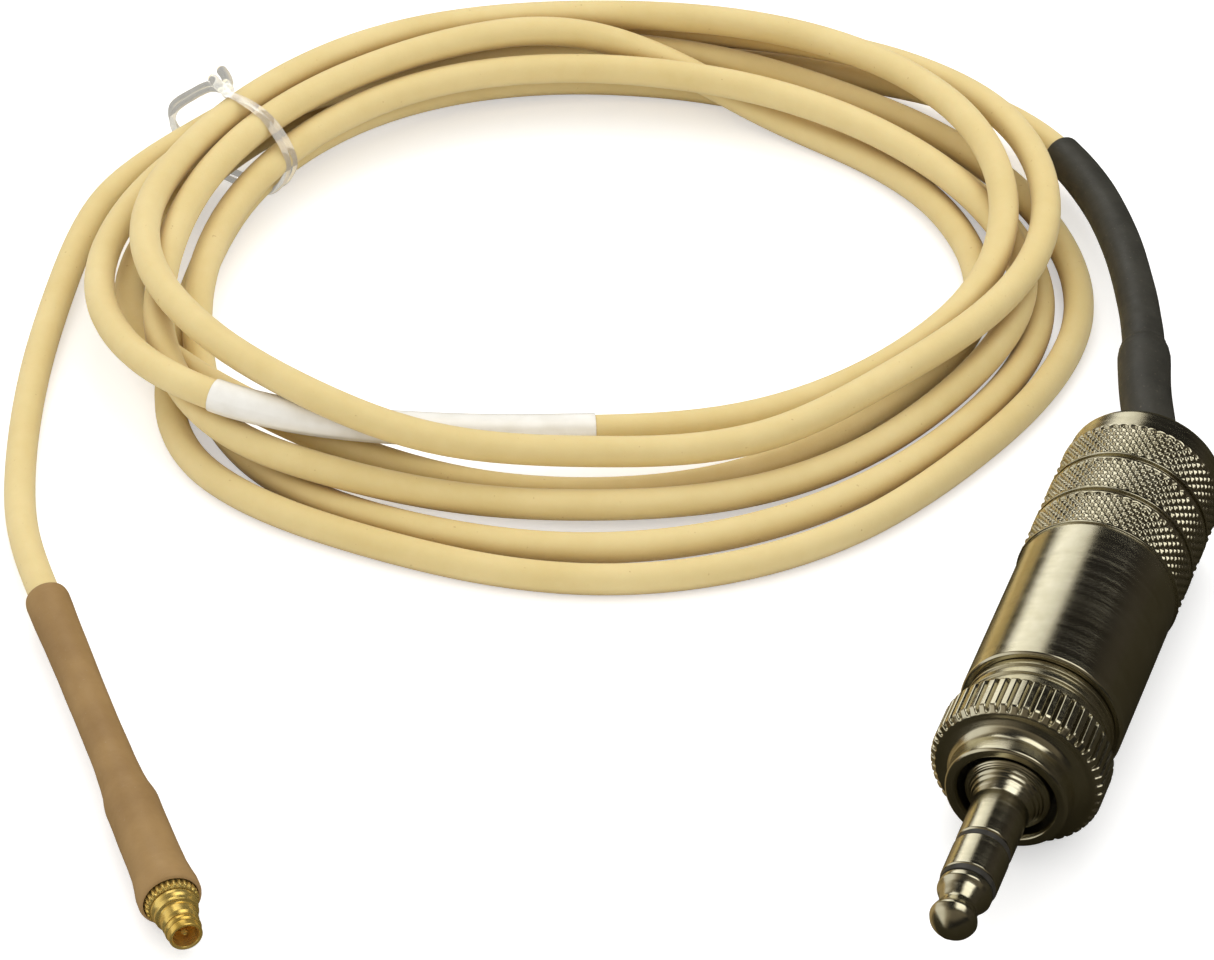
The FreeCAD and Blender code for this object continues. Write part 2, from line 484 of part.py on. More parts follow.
def settle(points, rounds=400, skip=8, margin=0.6, held=(30, 34)):
    """Push strands apart until none touch; the change stays smooth and the floor holds."""
    pitch = size("strand_pitch")
    floors = [floor_under(point) for point in points]
    first = [list(point) for point in points]
    now = [list(point) for point in points]
    count = len(now)
    pairs = []
    for turn in range(rounds):
        if turn % 8 == 0:
            pairs = close_pairs(now, pitch + margin, skip)
        push = [[0.0, 0.0, 0.0] for _ in range(count)]
        hits = [0] * count
        for low, high in pairs:
            gap = math.dist(now[low], now[high])
            if gap >= pitch:
                continue
            share = 0.5 * (pitch - gap) / max(gap, 1e-6)
            hits[low] += 1
            hits[high] += 1
            for axis in range(3):
                step = (now[high][axis] - now[low][axis]) * share
                push[low][axis] -= step
                push[high][axis] += step
        shift = [[now[i][axis] - first[i][axis] + push[i][axis] / max(hits[i], 1) for axis in range(3)]
                 for i in range(count)]
        for _ in range(3):
            inner = [[0.25 * before[axis] + 0.5 * here[axis] + 0.25 * after[axis] for axis in range(3)]
                     for before, here, after in zip(shift, shift[1:], shift[2:])]
            shift = [shift[0]] + inner + [shift[-1]]
        for index in range(held[0], count - held[1]):
            now[index] = [first[index][axis] + shift[index][axis] for axis in range(3)]
            now[index][2] = max(now[index][2], floors[index])
    return [Vector(*point) for point in now]


def travel(points):
    """Distance along the cable and running hour of the coil at every point."""
    lengths = [0.0]
    hours = [(math.degrees(math.atan2(points[0].y - COIL.y, points[0].x - COIL.x)) - 90.0) / 30.0]
    for start, end in zip(points, points[1:]):
        lengths.append(lengths[-1] + start.distanceToPoint(end))
        angle = math.atan2(end.y - COIL.y, end.x - COIL.x) - math.atan2(start.y - COIL.y, start.x - COIL.x)
        angle = (angle + math.pi) % (2 * math.pi) - math.pi
        hours.append(hours[-1] + math.degrees(angle) / 30.0)
    return lengths, hours


def at_hour(values, hours, wanted):
    """Value where the running hour first passes the wanted one."""
    index = next(i for i in range(1, len(hours)) if hours[i - 1] < wanted <= hours[i])
    share = (wanted - hours[index - 1]) / (hours[index] - hours[index - 1])
    return values[index - 1] + (values[index] - values[index - 1]) * share


def bend(start, corner, end):
    """Round bend from start to end whose end tangents meet at the corner."""
    middle = (start + end) * 0.5
    half = start.distanceToPoint(end) / 2
    rise = corner.distanceToPoint(middle)
    if rise < 1e-7 * half:
        return Part.LineSegment(start, end).toShape()
    sagitta = half * math.tan(math.atan2(rise, half) / 2)
    return Part.Arc(start, middle + (corner - middle) * (sagitta / rise), end).toShape()


def bends(curve, start, end, spacing=8.0):
    """Pairs of round bends that follow the curve between two distances along it."""
    count = max(1, round((end - start) / spacing))
    first = curve.FirstParameter
    moments = [first]
    for index in range(count + 1):
        distance = start + (end - start) * index / count
        moments.append(curve.parameterAtDistance(distance, first) if distance > 0 else first)
    moments = moments[1:]
    places = [curve.value(moment) for moment in moments]
    headings = [curve.tangent(moment)[0] for moment in moments]
    edges = []
    for here, there, out, into in zip(places, places[1:], headings, headings[1:]):
        gap = there - here
        both = out + into
        swing = 2 * (1 - out.dot(into))
        if swing < 1e-9:
            reach = gap.dot(gap) / (4 * gap.dot(out))
        else:
            reach = (math.sqrt(gap.dot(both) ** 2 + swing * gap.dot(gap)) - gap.dot(both)) / swing
        near = here + out * reach
        far = there - into * reach
        joint = (near + far) * 0.5
        edges += [bend(here, near, joint), bend(joint, far, there)]
    return edges


def stretch(chain, start, end):
    """The part of a chain of bends between two distances along it."""
    edges = []
    passed = 0.0
    for edge in chain:
        low = max(start - passed, 0.0)
        high = min(end - passed, edge.Length)
        if high - low > 0.05:
            edges.append(edge.Curve.toShape(edge.getParameterByLength(low), edge.getParameterByLength(high)))
        passed += edge.Length
    return edges


def disc(edge, radius):
    start = edge.valueAt(edge.FirstParameter)
    along = edge.tangentAt(edge.FirstParameter)
    return Part.Face(Part.Wire(Part.Circle(start, along, radius).toShape()))


def swept(name, path, outer, inner):
    """Tube that follows a chain of bends, or a rod when inner is zero."""
    section = disc(path[0], outer)
    if inner > 0:
        section = section.cut(disc(path[0], inner)).Faces[0]
    item = doc.addObject("Part::Feature", name)
    item.Label = name
    item.Shape = Part.Wire(path).makePipe(section)
    item.Placement = Placement()
    return item


def cable():
    lie = settle(curve_through(rough_lie()).discretize(Distance=1.0))
    sparse = lie[:-1:4] + [lie[-1]]
    curve = curve_through(sparse)
    lengths, hours = travel(lie)
    chain = bends(curve, 0, curve.length())
    whole = sum(edge.Length for edge in chain)
    jacket_to = whole - (size("jacket_end") - size("core_end"))
    for name, start, end, outer, inner in (
            ("cable_conductor", 0, whole, size("conductor_radius"), 0),
            ("cable_insulation", 0.5, whole - 0.5, size("insulation_radius"), size("insulation_bore")),
            ("cable_shield", 0.9, whole - 1.2, size("shield_radius"), size("shield_bore")),
            ("cable_jacket", size("jacket_start"), jacket_to, size("cable_radius"), size("jacket_bore")),
            ("heatshrink_inner", size("shrink_inner_from"), size("shrink_inner_to"),
             size("shrink_inner_radius"), size("cable_radius") + size("shrink_gap")),
            ("heatshrink_outer", size("shrink_outer_from"), size("shrink_outer_to"),
             size("shrink_outer_radius"), size("shrink_inner_radius") + size("shrink_gap")),
            ("cable_label", at_hour(lengths, hours, size("label_from_hour")),
             at_hour(lengths, hours, size("label_to_hour")),
             size("cable_radius") + size("label_gap") + size("label_thickness"),
             size("cable_radius") + size("label_gap"))):
        swept(name, stretch(chain, start, end), outer, inner)
    return lie, hours


def tie(lie, hours):
    """Clear loop round the seven strands at the back left, with a twisted knot and two loose ends."""
    angle = math.radians(90.0 + size("tie_hour") * 30.0)
    outward = Vector(math.cos(angle), math.sin(angle), 0)
    up = Vector(0, 0, 1)
    along = outward.cross(up)
    strands = [at_hour(lie, hours, size("tie_hour") + HOURS * lap) for lap in range(7)]
    middle = strands[0]
    for strand in strands[1:]:
        middle = middle + strand
    middle = middle * (1.0 / len(strands))
    thick = size("tie_wire")
    clear = size("cable_radius") + size("tie_gap") + thick
    ring = []
    for step in range(24):
        turn = math.radians(15 * step)
        ray = outward * math.cos(turn) + up * math.sin(turn)
        outermost = max(strands, key=ray.dot)
        ring.append(outermost + (middle - outermost).dot(along) * along + ray * clear)
    knot = ring[4]
    away = (knot - middle).normalize()
    loop = [knot + away * (0.4 + size("tie_loop") * (1 - math.cos(math.radians(45 * step))) * 0.5)
            + along * (size("tie_loop") * 0.7 * math.sin(math.radians(45 * step))) for step in range(8)]
    pieces = []
    for corners in (ring, loop):
        curve = Part.BSplineCurve()
        curve.interpolate(Points=corners, PeriodicFlag=True)
        path = bends(curve, 0, curve.length(), 1.2)
        pieces.append(Part.Wire(path).makePipe(disc(path[0], thick)))
    bead = Part.makeSphere(2.2 * thick)
    bead.translate(knot + away * 0.4)
    pieces.append(bead)
    item = doc.addObject("Part::Feature", "tie")
    item.Label = "tie"
    item.Shape = pieces[0].multiFuse(pieces[1:]).Solids[0]
    item.Placement = Placement()
    return item


# ---------------------------------------------------------------- build, check, write
jack_plug()
lock_nut()
handle()
contact_stack()
snap_plug()
tie(*cable())
doc.recompute()

for item in doc.Objects:
    if "Invalid" in item.State or "Error" in item.State:
        raise RuntimeError(f"{item.Name} did not build: {item.State}")

NODES = (
    "plug_tip", "tip_insulator", "plug_ring", "ring_insulator", "plug_body", "stop_collar", "lock_nut",
    "guide_ring", "handle", "handle_liner", "cable_clamp", "front_washer", "ring_terminal", "rear_washer",
    "tip_terminal", "heatshrink_inner", "heatshrink_outer", "cable_jacket", "cable_shield",
    "cable_insulation", "cable_conductor", "cable_label", "tie", "brown_heatshrink", "connector_shell",
    "snap_ring", "dielectric", "centre_pin", "crimp_ferrule")
os.makedirs("parts", exist_ok=True)
for name in NODES:
    item = doc.getObjectsByLabel(name)[0]
    shape = item.Shape
    if shape.isNull() or not shape.isValid() or len(shape.Solids) != 1:
        raise RuntimeError(f"{name} is not one sound solid")
    shape.Solids[0].exportStep(f"parts/{name}.step")
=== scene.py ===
"""Looks of a coiled headset microphone cable with its two plugs.

Everything is in metres in the frame's own axes. Positions, outlines and spans are read
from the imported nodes; MM turns millimetres into metres.
"""
import json
import math

import bmesh
import bpy
import numpy as np
from mathutils import Matrix, Vector, noise
from mathutils.kdtree import KDTree

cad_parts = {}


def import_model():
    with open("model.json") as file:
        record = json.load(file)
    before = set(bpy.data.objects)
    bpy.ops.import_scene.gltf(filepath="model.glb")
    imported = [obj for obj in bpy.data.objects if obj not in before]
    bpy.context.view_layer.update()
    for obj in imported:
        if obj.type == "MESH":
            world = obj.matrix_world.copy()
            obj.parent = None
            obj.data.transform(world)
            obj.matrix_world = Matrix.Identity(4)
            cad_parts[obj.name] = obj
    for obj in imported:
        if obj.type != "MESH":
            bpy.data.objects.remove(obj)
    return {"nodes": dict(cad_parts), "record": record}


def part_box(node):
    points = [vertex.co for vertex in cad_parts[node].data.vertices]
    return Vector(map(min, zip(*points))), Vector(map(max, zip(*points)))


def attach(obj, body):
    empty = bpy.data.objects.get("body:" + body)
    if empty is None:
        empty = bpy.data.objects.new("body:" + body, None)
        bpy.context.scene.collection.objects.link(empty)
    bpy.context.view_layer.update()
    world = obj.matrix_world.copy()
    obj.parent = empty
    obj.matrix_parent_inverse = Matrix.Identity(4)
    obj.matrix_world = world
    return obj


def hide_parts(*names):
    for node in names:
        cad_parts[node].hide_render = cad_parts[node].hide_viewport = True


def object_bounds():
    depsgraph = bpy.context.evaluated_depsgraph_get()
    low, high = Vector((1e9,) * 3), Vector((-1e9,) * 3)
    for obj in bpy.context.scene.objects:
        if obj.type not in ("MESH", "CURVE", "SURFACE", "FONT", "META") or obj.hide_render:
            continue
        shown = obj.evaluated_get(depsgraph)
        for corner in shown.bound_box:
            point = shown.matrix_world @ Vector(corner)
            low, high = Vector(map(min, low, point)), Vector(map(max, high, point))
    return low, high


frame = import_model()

CAD_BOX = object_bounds()
MM = 0.001
NODES = frame["nodes"]
MOUNTS = {mount["name"]: mount for mount in frame["record"]["mounts"]}
ROOT = "cable_assembly"


# ---------------------------------------------------------------- reading the frame
def corners_of(node):
    mesh = NODES[node].data
    points = np.zeros(len(mesh.vertices) * 3)
    mesh.vertices.foreach_get("co", points)
    return points.reshape(-1, 3)


def plug_frame(mount, ahead):
    """Matrix whose +Z runs out of the plug's nose, +Y is up; the origin lies behind the mount."""
    nose = Vector(MOUNTS[mount]["axis"]).normalized()
    up = Vector((0, 0, 1))
    side = up.cross(nose)
    turn = Matrix((side, up, nose)).transposed().to_4x4()
    return Matrix.Translation(Vector(MOUNTS[mount]["pos_m"]) - nose * ahead) @ turn


# The jack plug's origin is the front of its boss, the snap plug's is the tip of its nose.
SLEEVE_AHEAD = 3.14 * MM
NECK_AHEAD = -1.55 * MM
JACK = plug_frame("jack_sleeve", SLEEVE_AHEAD)
SNAP = plug_frame("snap_neck", NECK_AHEAD)


def in_plug(points, plug):
    """Radius from the plug's axis and height along it, for rows of points."""
    back = np.array(plug.inverted())
    local = points @ back[:3, :3].T + back[:3, 3]
    return np.hypot(local[:, 0], local[:, 1]), local[:, 2]


def outline_of(node, plug):
    """Outline of a turned node as (radius, height) corners, walked along its mesh edges.

    Also says whether the outline closes on itself; one that does not starts and ends on the axis.
    """
    radius, height = in_plug(corners_of(node), plug)
    keys = [(round(r / MM, 2), round(h / MM, 2)) for r, h in zip(radius, height)]
    links = {}
    for edge in NODES[node].data.edges:
        a, b = keys[edge.vertices[0]], keys[edge.vertices[1]]
        if a != b:
            links.setdefault(a, set()).add(b)
            links.setdefault(b, set()).add(a)
    ends = sorted(key for key, near in links.items() if len(near) == 1)
    start = ends[-1] if ends else max(links, key=lambda key: (key[1], key[0]))
    walk = [start]
    while True:
        onward = [key for key in links[walk[-1]] if key not in walk]
        if not onward:
            break
        walk.append(max(onward, key=lambda key: key[0]) if len(walk) == 1 else onward[0])
    return [(r * MM, h * MM) for r, h in walk], not ends


def centreline(node, start, heading):
    """Middle line of a thin swept node, found ring by ring along its mesh from one end."""
    farthest, nearest = 7 * MM, 0.1 * MM
    spread, spread_growth = 0.3 * MM, 0.12
    ring_depth = 0.12 * MM
    points = corners_of(node)
    tree = KDTree(len(points))
    for index, point in enumerate(points):
        tree.insert(point, index)
    tree.balance()
    line = [Vector(start)]
    heading = Vector(heading).normalized()
    while True:
        ahead = []
        for point, _, _ in tree.find_range(line[-1], farthest):
            gap = point - line[-1]
            along = gap.dot(heading)
            if along > nearest and (gap - heading * along).length < spread + spread_growth * along:
                ahead.append((along, point))
        if not ahead:
            return line
        first = min(along for along, _ in ahead)
        ring = [point for along, point in ahead if along < first + ring_depth]
        middle = sum(ring, Vector()) / len(ring)
        heading = (middle - line[-1]).normalized()
        line.append(middle)


def smoothed(line, rounds):
    """The line with each inner point drawn towards its neighbours, again for each round."""
    points = np.array(line)
    for _ in range(rounds):
        points[1:-1] = 0.25 * points[:-2] + 0.5 * points[1:-1] + 0.25 * points[2:]
    return points


def evenly(points, step):
    """Points spaced evenly along a line, with their distances from its start."""
    lengths = np.concatenate([[0], np.cumsum(np.linalg.norm(np.diff(points, axis=0), axis=1))])
    count = int(lengths[-1] / step) + 1
    wanted = np.linspace(0, lengths[-1], count)
    rows = [np.interp(wanted, lengths, points[:, axis]) for axis in range(3)]
    return np.stack(rows, axis=1), wanted


# ---------------------------------------------------------------- mesh building
def new_object(name, points, faces, nodes, body, material, matrix=None):
    """Smooth-shaded mesh riding a body and standing in for the given nodes."""
    mesh = bpy.data.meshes.new(name)
    mesh.from_pydata([tuple(point) for point in points], [], faces)
    mesh.polygons.foreach_set("use_smooth", [True] * len(mesh.polygons))
    mesh.materials.append(material)
    mesh.update()
    item = bpy.data.objects.new(name, mesh)
    bpy.context.scene.collection.objects.link(item)
    if matrix is not None:
        item.matrix_world = matrix
    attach(item, body)
    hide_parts(*nodes)
    return item


def grid_faces(rows, columns, wrap_rows=False):
    """Quads of a grid of points whose columns close on themselves."""
    faces = []
    for row in range(rows if wrap_rows else rows - 1):
        first, second = row * columns, (row + 1) % rows * columns
        for column in range(columns):
            onward = (column + 1) % columns
            faces.append((first + column, first + onward, second + onward, second + column))
    return faces


def rounded(outline, closed, radius):
    """Outline with every corner rounded, and with holding points beside each round."""
    arc_steps, widest_share = 4, 0.35
    hold, hold_share, long_side = 0.05 * MM, 0.2, 4
    count = len(outline)
    result = []
    for index in range(count):
        here = Vector(outline[index])
        if not closed and index in (0, count - 1):
            result.append(here)
            continue
        before = Vector(outline[index - 1]) - here
        after = Vector(outline[(index + 1) % count]) - here
        reach = min(radius, widest_share * before.length, widest_share * after.length)
        start = here + before.normalized() * reach
        end = here + after.normalized() * reach
        if before.length > long_side * reach:
            result.append(start + before.normalized() * min(hold, hold_share * before.length))
        for step in range(arc_steps + 1):
            share = step / arc_steps
            result.append(start * (1 - share) ** 2 + here * (2 * share * (1 - share)) + end * share ** 2)
        if after.length > long_side * reach:
            result.append(end + after.normalized() * min(hold, hold_share * after.length))
    return result


def lathe(name, outline, closed, plug, body, material, nodes, segments=160, relief=None):
    """Turned piece: the outline swung round the plug's axis; relief moves points outwards.

    An open outline starts and ends on the axis, where its points are welded into one.
    """
    weld = 0.0005 * MM
    points = []
    for radius, height in outline:
        for step in range(segments):
            angle = 2 * math.pi * step / segments
            reach = radius + (relief(angle, radius, height) if relief else 0.0)
            points.append((reach * math.cos(angle), reach * math.sin(angle), height))
    faces = grid_faces(len(outline), segments, closed)
    item = new_object(name, points, faces, nodes, body, material, plug)
    if not closed:
        welded = bmesh.new()
        welded.from_mesh(item.data)
        bmesh.ops.remove_doubles(welded, verts=welded.verts, dist=weld)
        welded.to_mesh(item.data)
        welded.free()
    return item


def finely(outline, low, high, step):
    """Add points to the outline's straight runs whose heights lie between low and high."""
    short_run = 1.5 * step
    result = []
    for start, end in zip(outline, outline[1:] + outline[:1]):
        result.append(start)
        length = (end - start).length
        middle = (start[1] + end[1]) / 2
        if low < middle < high and length > short_run:
            count = math.ceil(length / step)
            result += [start.lerp(end, index / count) for index in range(1, count)]
    return result


def carried(line):
    """Two directions square to the line at each of its points, without twist."""
    headings = np.gradient(line, axis=0)
    headings /= np.linalg.norm(headings, axis=1)[:, None]
    sides = np.zeros_like(line)
    side = np.array([0.0, 0.0, 1.0])
    for index, heading in enumerate(headings):
        side = side - heading * side.dot(heading)
        side /= np.linalg.norm(side)
        sides[index] = side
    return headings, sides, np.cross(headings, sides)


class Path:
    """A line sampled evenly, with the frame carried along it."""

    def __init__(self, points, step):
        self.points, self.lengths = evenly(points, step)
        self.headings, self.sides, self.ups = carried(self.points)
        self.step = self.lengths[1] - self.lengths[0]

    def at(self, distance):
        """Point, side and up at a distance along the line."""
        last = len(self.points) - 1.001
        place = min(max(distance / self.step, 0), last)
        index, share = int(place), place - int(place)
        return [rail[index] * (1 - share) + rail[index + 1] * share
                for rail in (self.points, self.sides, self.ups)]

    def nearest(self, points):
        """Distance along the line of the sample nearest to each of the points."""
        tree = KDTree(len(self.points))
        for index, point in enumerate(self.points):
            tree.insert(point, index)
        tree.balance()
        return np.array([self.lengths[tree.find(point)[1]] for point in points])


def pipe(name, path, stations, body, material, nodes, around=24, relief=None):
    """Skin carried along a path; stations are (distance, radius) rows from one end to the other."""
    points = []
    for distance, radius in stations:
        middle, side, up = path.at(distance)
        for step in range(around):
            angle = 2 * math.pi * step / around
            reach = radius + (relief(angle, distance, radius) if relief else 0.0)
            points.append(middle + (side * math.cos(angle) + up * math.sin(angle)) * reach)
    return new_object(name, points, grid_faces(len(stations), around), nodes, body, material)


def lip(distance, outer, inner, bend):
    """Stations of a tube's far end: from its outside round the edge and back into its bore."""
    bore_bend, bore_depth = 0.3 * bend, 6 * bend
    rows = []
    for degrees in range(0, 91, 15):
        turn = math.radians(degrees)
        rows.append((distance - bend * (1 - math.sin(turn)), outer - bend * (1 - math.cos(turn))))
    rows += [(distance, inner + bore_bend), (distance - bore_bend, inner), (distance - bore_depth, inner)]
    return rows


def wander(distance, angle, scale, seed):
    """Smooth unevenness in -1..1 on a tube's skin; scale is its length along the tube."""
    across = 0.8
    return noise.noise(Vector((math.cos(angle) * across, math.sin(angle) * across + seed, distance / scale)))


# ---------------------------------------------------------------- materials
# Noise scales count cells per metre: 90 gives clouds about a centimetre wide, 5000 grain of 0.2 mm.
PLAIN_WHITE = (1.0, 1.0, 1.0, 1.0)


def colour(hex_code):
    """Linear colour of an sRGB code."""
    parts = [int(hex_code[k:k + 2], 16) / 255 for k in (0, 2, 4)]
    return [part / 12.92 if part <= 0.04045 else ((part + 0.055) / 1.055) ** 2.4 for part in parts] + [1.0]


class Finish:
    """A node material being put together round one principled shader."""

    def __init__(self, name):
        self.material = bpy.data.materials.new(name)
        self.material.use_nodes = True
        self.nodes = self.material.node_tree.nodes
        self.links = self.material.node_tree.links
        self.shader = self.nodes["Principled BSDF"]
        self.place = self.nodes.new("ShaderNodeTexCoord").outputs["Object"]

    def feed(self, socket, value):
        """Link a socket, or set its plain value."""
        if isinstance(value, bpy.types.NodeSocket):
            self.links.new(value, socket)
        else:
            socket.default_value = value

    def stretched(self, scale):
        mapping = self.nodes.new("ShaderNodeMapping")
        mapping.inputs["Scale"].default_value = scale
        self.links.new(self.place, mapping.inputs["Vector"])
        return mapping.outputs["Vector"]

    def noise(self, scale, detail=4.0, rough=0.55, stretch=None):
        node = self.nodes.new("ShaderNodeTexNoise")
        node.inputs["Scale"].default_value = scale
        node.inputs["Detail"].default_value = detail
        node.inputs["Roughness"].default_value = rough
        self.links.new(self.stretched(stretch) if stretch else self.place, node.inputs["Vector"])
        return node.outputs["Fac"]

    def ramp(self, source, stops):
        """Colours or grey levels at stops between 0 and 1."""
        node = self.nodes.new("ShaderNodeValToRGB")
        ramp = node.color_ramp
        while len(ramp.elements) < len(stops):
            ramp.elements.new(0.5)
        for element, (place, value) in zip(ramp.elements, stops):
            element.position = place
            element.color = (value, value, value, 1) if isinstance(value, float) else value
        self.links.new(source, node.inputs["Fac"])
        return node.outputs["Color"]

    def mix(self, share, first, second, mode="MIX"):
        node = self.nodes.new("ShaderNodeMix")
        node.data_type = "RGBA"
        node.blend_type = mode
        share_socket, first_socket, second_socket = node.inputs[0], node.inputs[6], node.inputs[7]
        self.feed(share_socket, share)
        self.feed(first_socket, first)
        self.feed(second_socket, second)
        return node.outputs[2]

    def bump(self, height, distance, strength, under=None):
        node = self.nodes.new("ShaderNodeBump")
        node.inputs["Strength"].default_value = strength
        node.inputs["Distance"].default_value = distance
        self.links.new(height, node.inputs["Height"])
        if under is not None:
            self.links.new(under, node.inputs["Normal"])
        return node.outputs["Normal"]

    def scaled(self, source, factor):
        node = self.nodes.new("ShaderNodeMath")
        node.operation = "MULTIPLY"
        self.links.new(source, node.inputs[0])
        node.inputs[1].default_value = factor
        return node.outputs[0]

    def occlusion(self, distance):
        """1 in the open, falling to 0 where surfaces closer than the distance crowd in."""
        node = self.nodes.new("ShaderNodeAmbientOcclusion")
        node.inputs["Distance"].default_value = distance
        node.samples = 8
        return node.outputs["AO"]

    def set(self, **values):
        """Feed the shader's sockets, named with underscores for spaces."""
        for key, value in values.items():
            self.feed(self.shader.inputs[key.replace("_", " ")], value)
        return self.material


def jacket_finish():
    """Matte skin-tone jacket: slight mottling, sparse specks, warm shade in the gaps, fine grain."""
    gap_width = 1.6 * MM
    finish = Finish("tan_jacket")
    broad = finish.ramp(finish.noise(90, 3), [(0.35, colour("e0c98a")), (0.65, colour("e9d499"))])
    fine = finish.noise(900, 5, 0.6)
    tone = finish.mix(0.10, broad, finish.ramp(fine, [(0.3, colour("cbae6c")), (0.7, colour("e9d7a6"))]))
    specks = finish.ramp(finish.noise(2600, 2), [(0.23, 1.0), (0.27, 0.0)])
    tone = finish.mix(specks, tone, colour("cdb078"))
    gap = finish.ramp(finish.occlusion(gap_width), [(0.25, colour("b08840")), (0.85, PLAIN_WHITE)])
    tone = finish.mix(0.42, tone, gap, "MULTIPLY")
    normal = finish.bump(finish.noise(5200, 4, 0.6), 0.012 * MM, 0.5)
    normal = finish.bump(finish.noise(420, 3), 0.03 * MM, 0.25, normal)
    rough = finish.ramp(finish.noise(700, 4), [(0.3, 0.46), (0.7, 0.60)])
    return finish.set(Base_Color=tone, Roughness=rough, Normal=normal, Specular_IOR_Level=0.32,
                      Subsurface_Weight=0.12, Subsurface_Radius=(0.9 * MM, 0.5 * MM, 0.25 * MM),
                      Sheen_Weight=0.15, Sheen_Roughness=0.5)


def shrink_finish(name, dark, light, grain, shine):
    """Heat-shrink tube: satin skin with a cloudy tone, a little dust and a fine matte grain."""
    roughness_spread = 0.16
    finish = Finish(name)
    cloud = finish.ramp(finish.noise(260, 5, 0.6), [(0.3, colour(dark)), (0.7, colour(light))])
    dust = finish.ramp(finish.noise(5200, 3), [(0.66, 0.0), (0.78, 1.0)])
    tone = finish.mix(dust, cloud, finish.mix(0.22, cloud, colour("b8aa90")))
    normal = finish.bump(finish.noise(4200, 5, 0.65), grain, 0.7)
    normal = finish.bump(finish.noise(500, 3), 0.05 * MM, 0.35, normal)
    rough = finish.ramp(finish.noise(900, 4), [(0.3, shine), (0.7, shine + roughness_spread)])
    return finish.set(Base_Color=tone, Roughness=rough, Normal=normal, Specular_IOR_Level=0.42)


def turned_metal(name, bright, deep, shine, lines=0.010 * MM, recess_shade=0.5, metal=1.0):
    """Plated turned metal: fine tool lines round the axis and painted shade in the recesses.

    The noise for the lines is stretched round the axis, so that it changes only along the height.
    """
    recess_width, roughness_spread = 0.5 * MM, 0.12
    fine_lines, wide_lines = (160, 160, 16000), (60, 60, 3600)
    finish = Finish(name)
    patch = finish.ramp(finish.noise(420, 4), [(0.3, colour(deep)), (0.75, colour(bright))])
    # Painted shade: the tone is darkened towards 6d5c34 where surfaces crowd in, as in the recesses.
    recess = finish.ramp(finish.occlusion(recess_width), [(0.2, colour("6d5c34")), (0.8, PLAIN_WHITE)])
    tone = finish.mix(recess_shade, patch, recess, "MULTIPLY")
    tool = finish.noise(1.0, 5, 0.7, fine_lines)
    tool_wide = finish.noise(1.0, 3, 0.6, wide_lines)
    normal = finish.bump(tool, lines, 0.5)
    normal = finish.bump(tool_wide, lines * 1.5, 0.22, normal)
    rough = finish.ramp(tool_wide, [(0.3, shine), (0.7, shine + roughness_spread)])
    return finish.set(Base_Color=tone, Metallic=metal, Roughness=rough, Normal=normal)


def plain_finish(name, first, second, rough, scale=1500, metal=0.0, grain=0.01 * MM):
    """Small moulded or stamped piece: two close tones, light grain."""
    roughness_spread = 0.12
    finish = Finish(name)
    tone = finish.ramp(finish.noise(scale, 4), [(0.35, colour(first)), (0.65, colour(second))])
    normal = finish.bump(finish.noise(scale * 3, 4), grain, 0.4)
    roughness = finish.ramp(finish.noise(scale * 2, 3), [(0.3, rough), (0.7, rough + roughness_spread)])
    return finish.set(Base_Color=tone, Metallic=metal, Roughness=roughness, Normal=normal)


def label_finish():
    """White film: faint creases and a soft gloss."""
    crease_cells = (1500, 260, 900)
    finish = Finish("label_white")
    tone = finish.ramp(finish.noise(500, 3), [(0.3, colour("efece3")), (0.7, colour("faf8f2"))])
    creases = finish.noise(1.0, 4, 0.6, crease_cells)
    normal = finish.bump(creases, 0.05 * MM, 0.5)
    return finish.set(Base_Color=tone, Roughness=0.28, Normal=normal, Coat_Weight=0.4, Coat_Roughness=0.15)


def clear_finish():
    """Clear elastic: glassy and faintly milky, with small ripples; a little painted glow brightens it."""
    finish = Finish("clear_tie")
    tone = finish.ramp(finish.noise(700, 3), [(0.3, colour("f2f3ee")), (0.7, colour("ffffff"))])
    normal = finish.bump(finish.noise(1400, 3), 0.04 * MM, 0.5)
    # Painted light: a faint emission makes the elastic glow though it is no lamp.
    return finish.set(Base_Color=tone, Roughness=0.05, IOR=1.20, Transmission_Weight=0.88, Normal=normal,
                      Specular_IOR_Level=1.0, Emission_Color=(1, 0.98, 0.93, 1), Emission_Strength=0.14)


TAN = jacket_finish()
BLACK = shrink_finish("black_heatshrink", "2f2e28", "403e36", grain=0.012 * MM, shine=0.42)
BROWN = shrink_finish("brown_heatshrink", "8f6f43", "a38251", grain=0.010 * MM, shine=0.44)
NICKEL = turned_metal("nickel", "e4dec6", "cfc8ab", shine=0.13)
COLLAR = turned_metal("brass_collar", "dfd8bc", "beb592", shine=0.17, lines=0.014 * MM, recess_shade=0.7)
GOLD = turned_metal("gold", "ffe288", "f5c858", shine=0.20, lines=0.008 * MM, recess_shade=0.35, metal=0.82)
DARK = plain_finish("dark_plastic", "2a2823", "38352f", rough=0.35)
FILM = plain_finish("clear_film", "cfcab8", "dedac9", rough=0.3)
TERMINAL = plain_finish("terminal", "b9b5a6", "cbc7b8", rough=0.28, scale=1200, metal=1.0)
COPPER = plain_finish("copper", "b8693f", "cc7d50", rough=0.3, scale=2500, metal=1.0, grain=0.02 * MM)
INSULATION = plain_finish("core_insulation", "e6e4da", "f1efe6", rough=0.4)
WHITE = label_finish()
CLEAR = clear_finish()
PTFE = plain_finish("ptfe", "e9b35c", "f2c06c", rough=0.4)


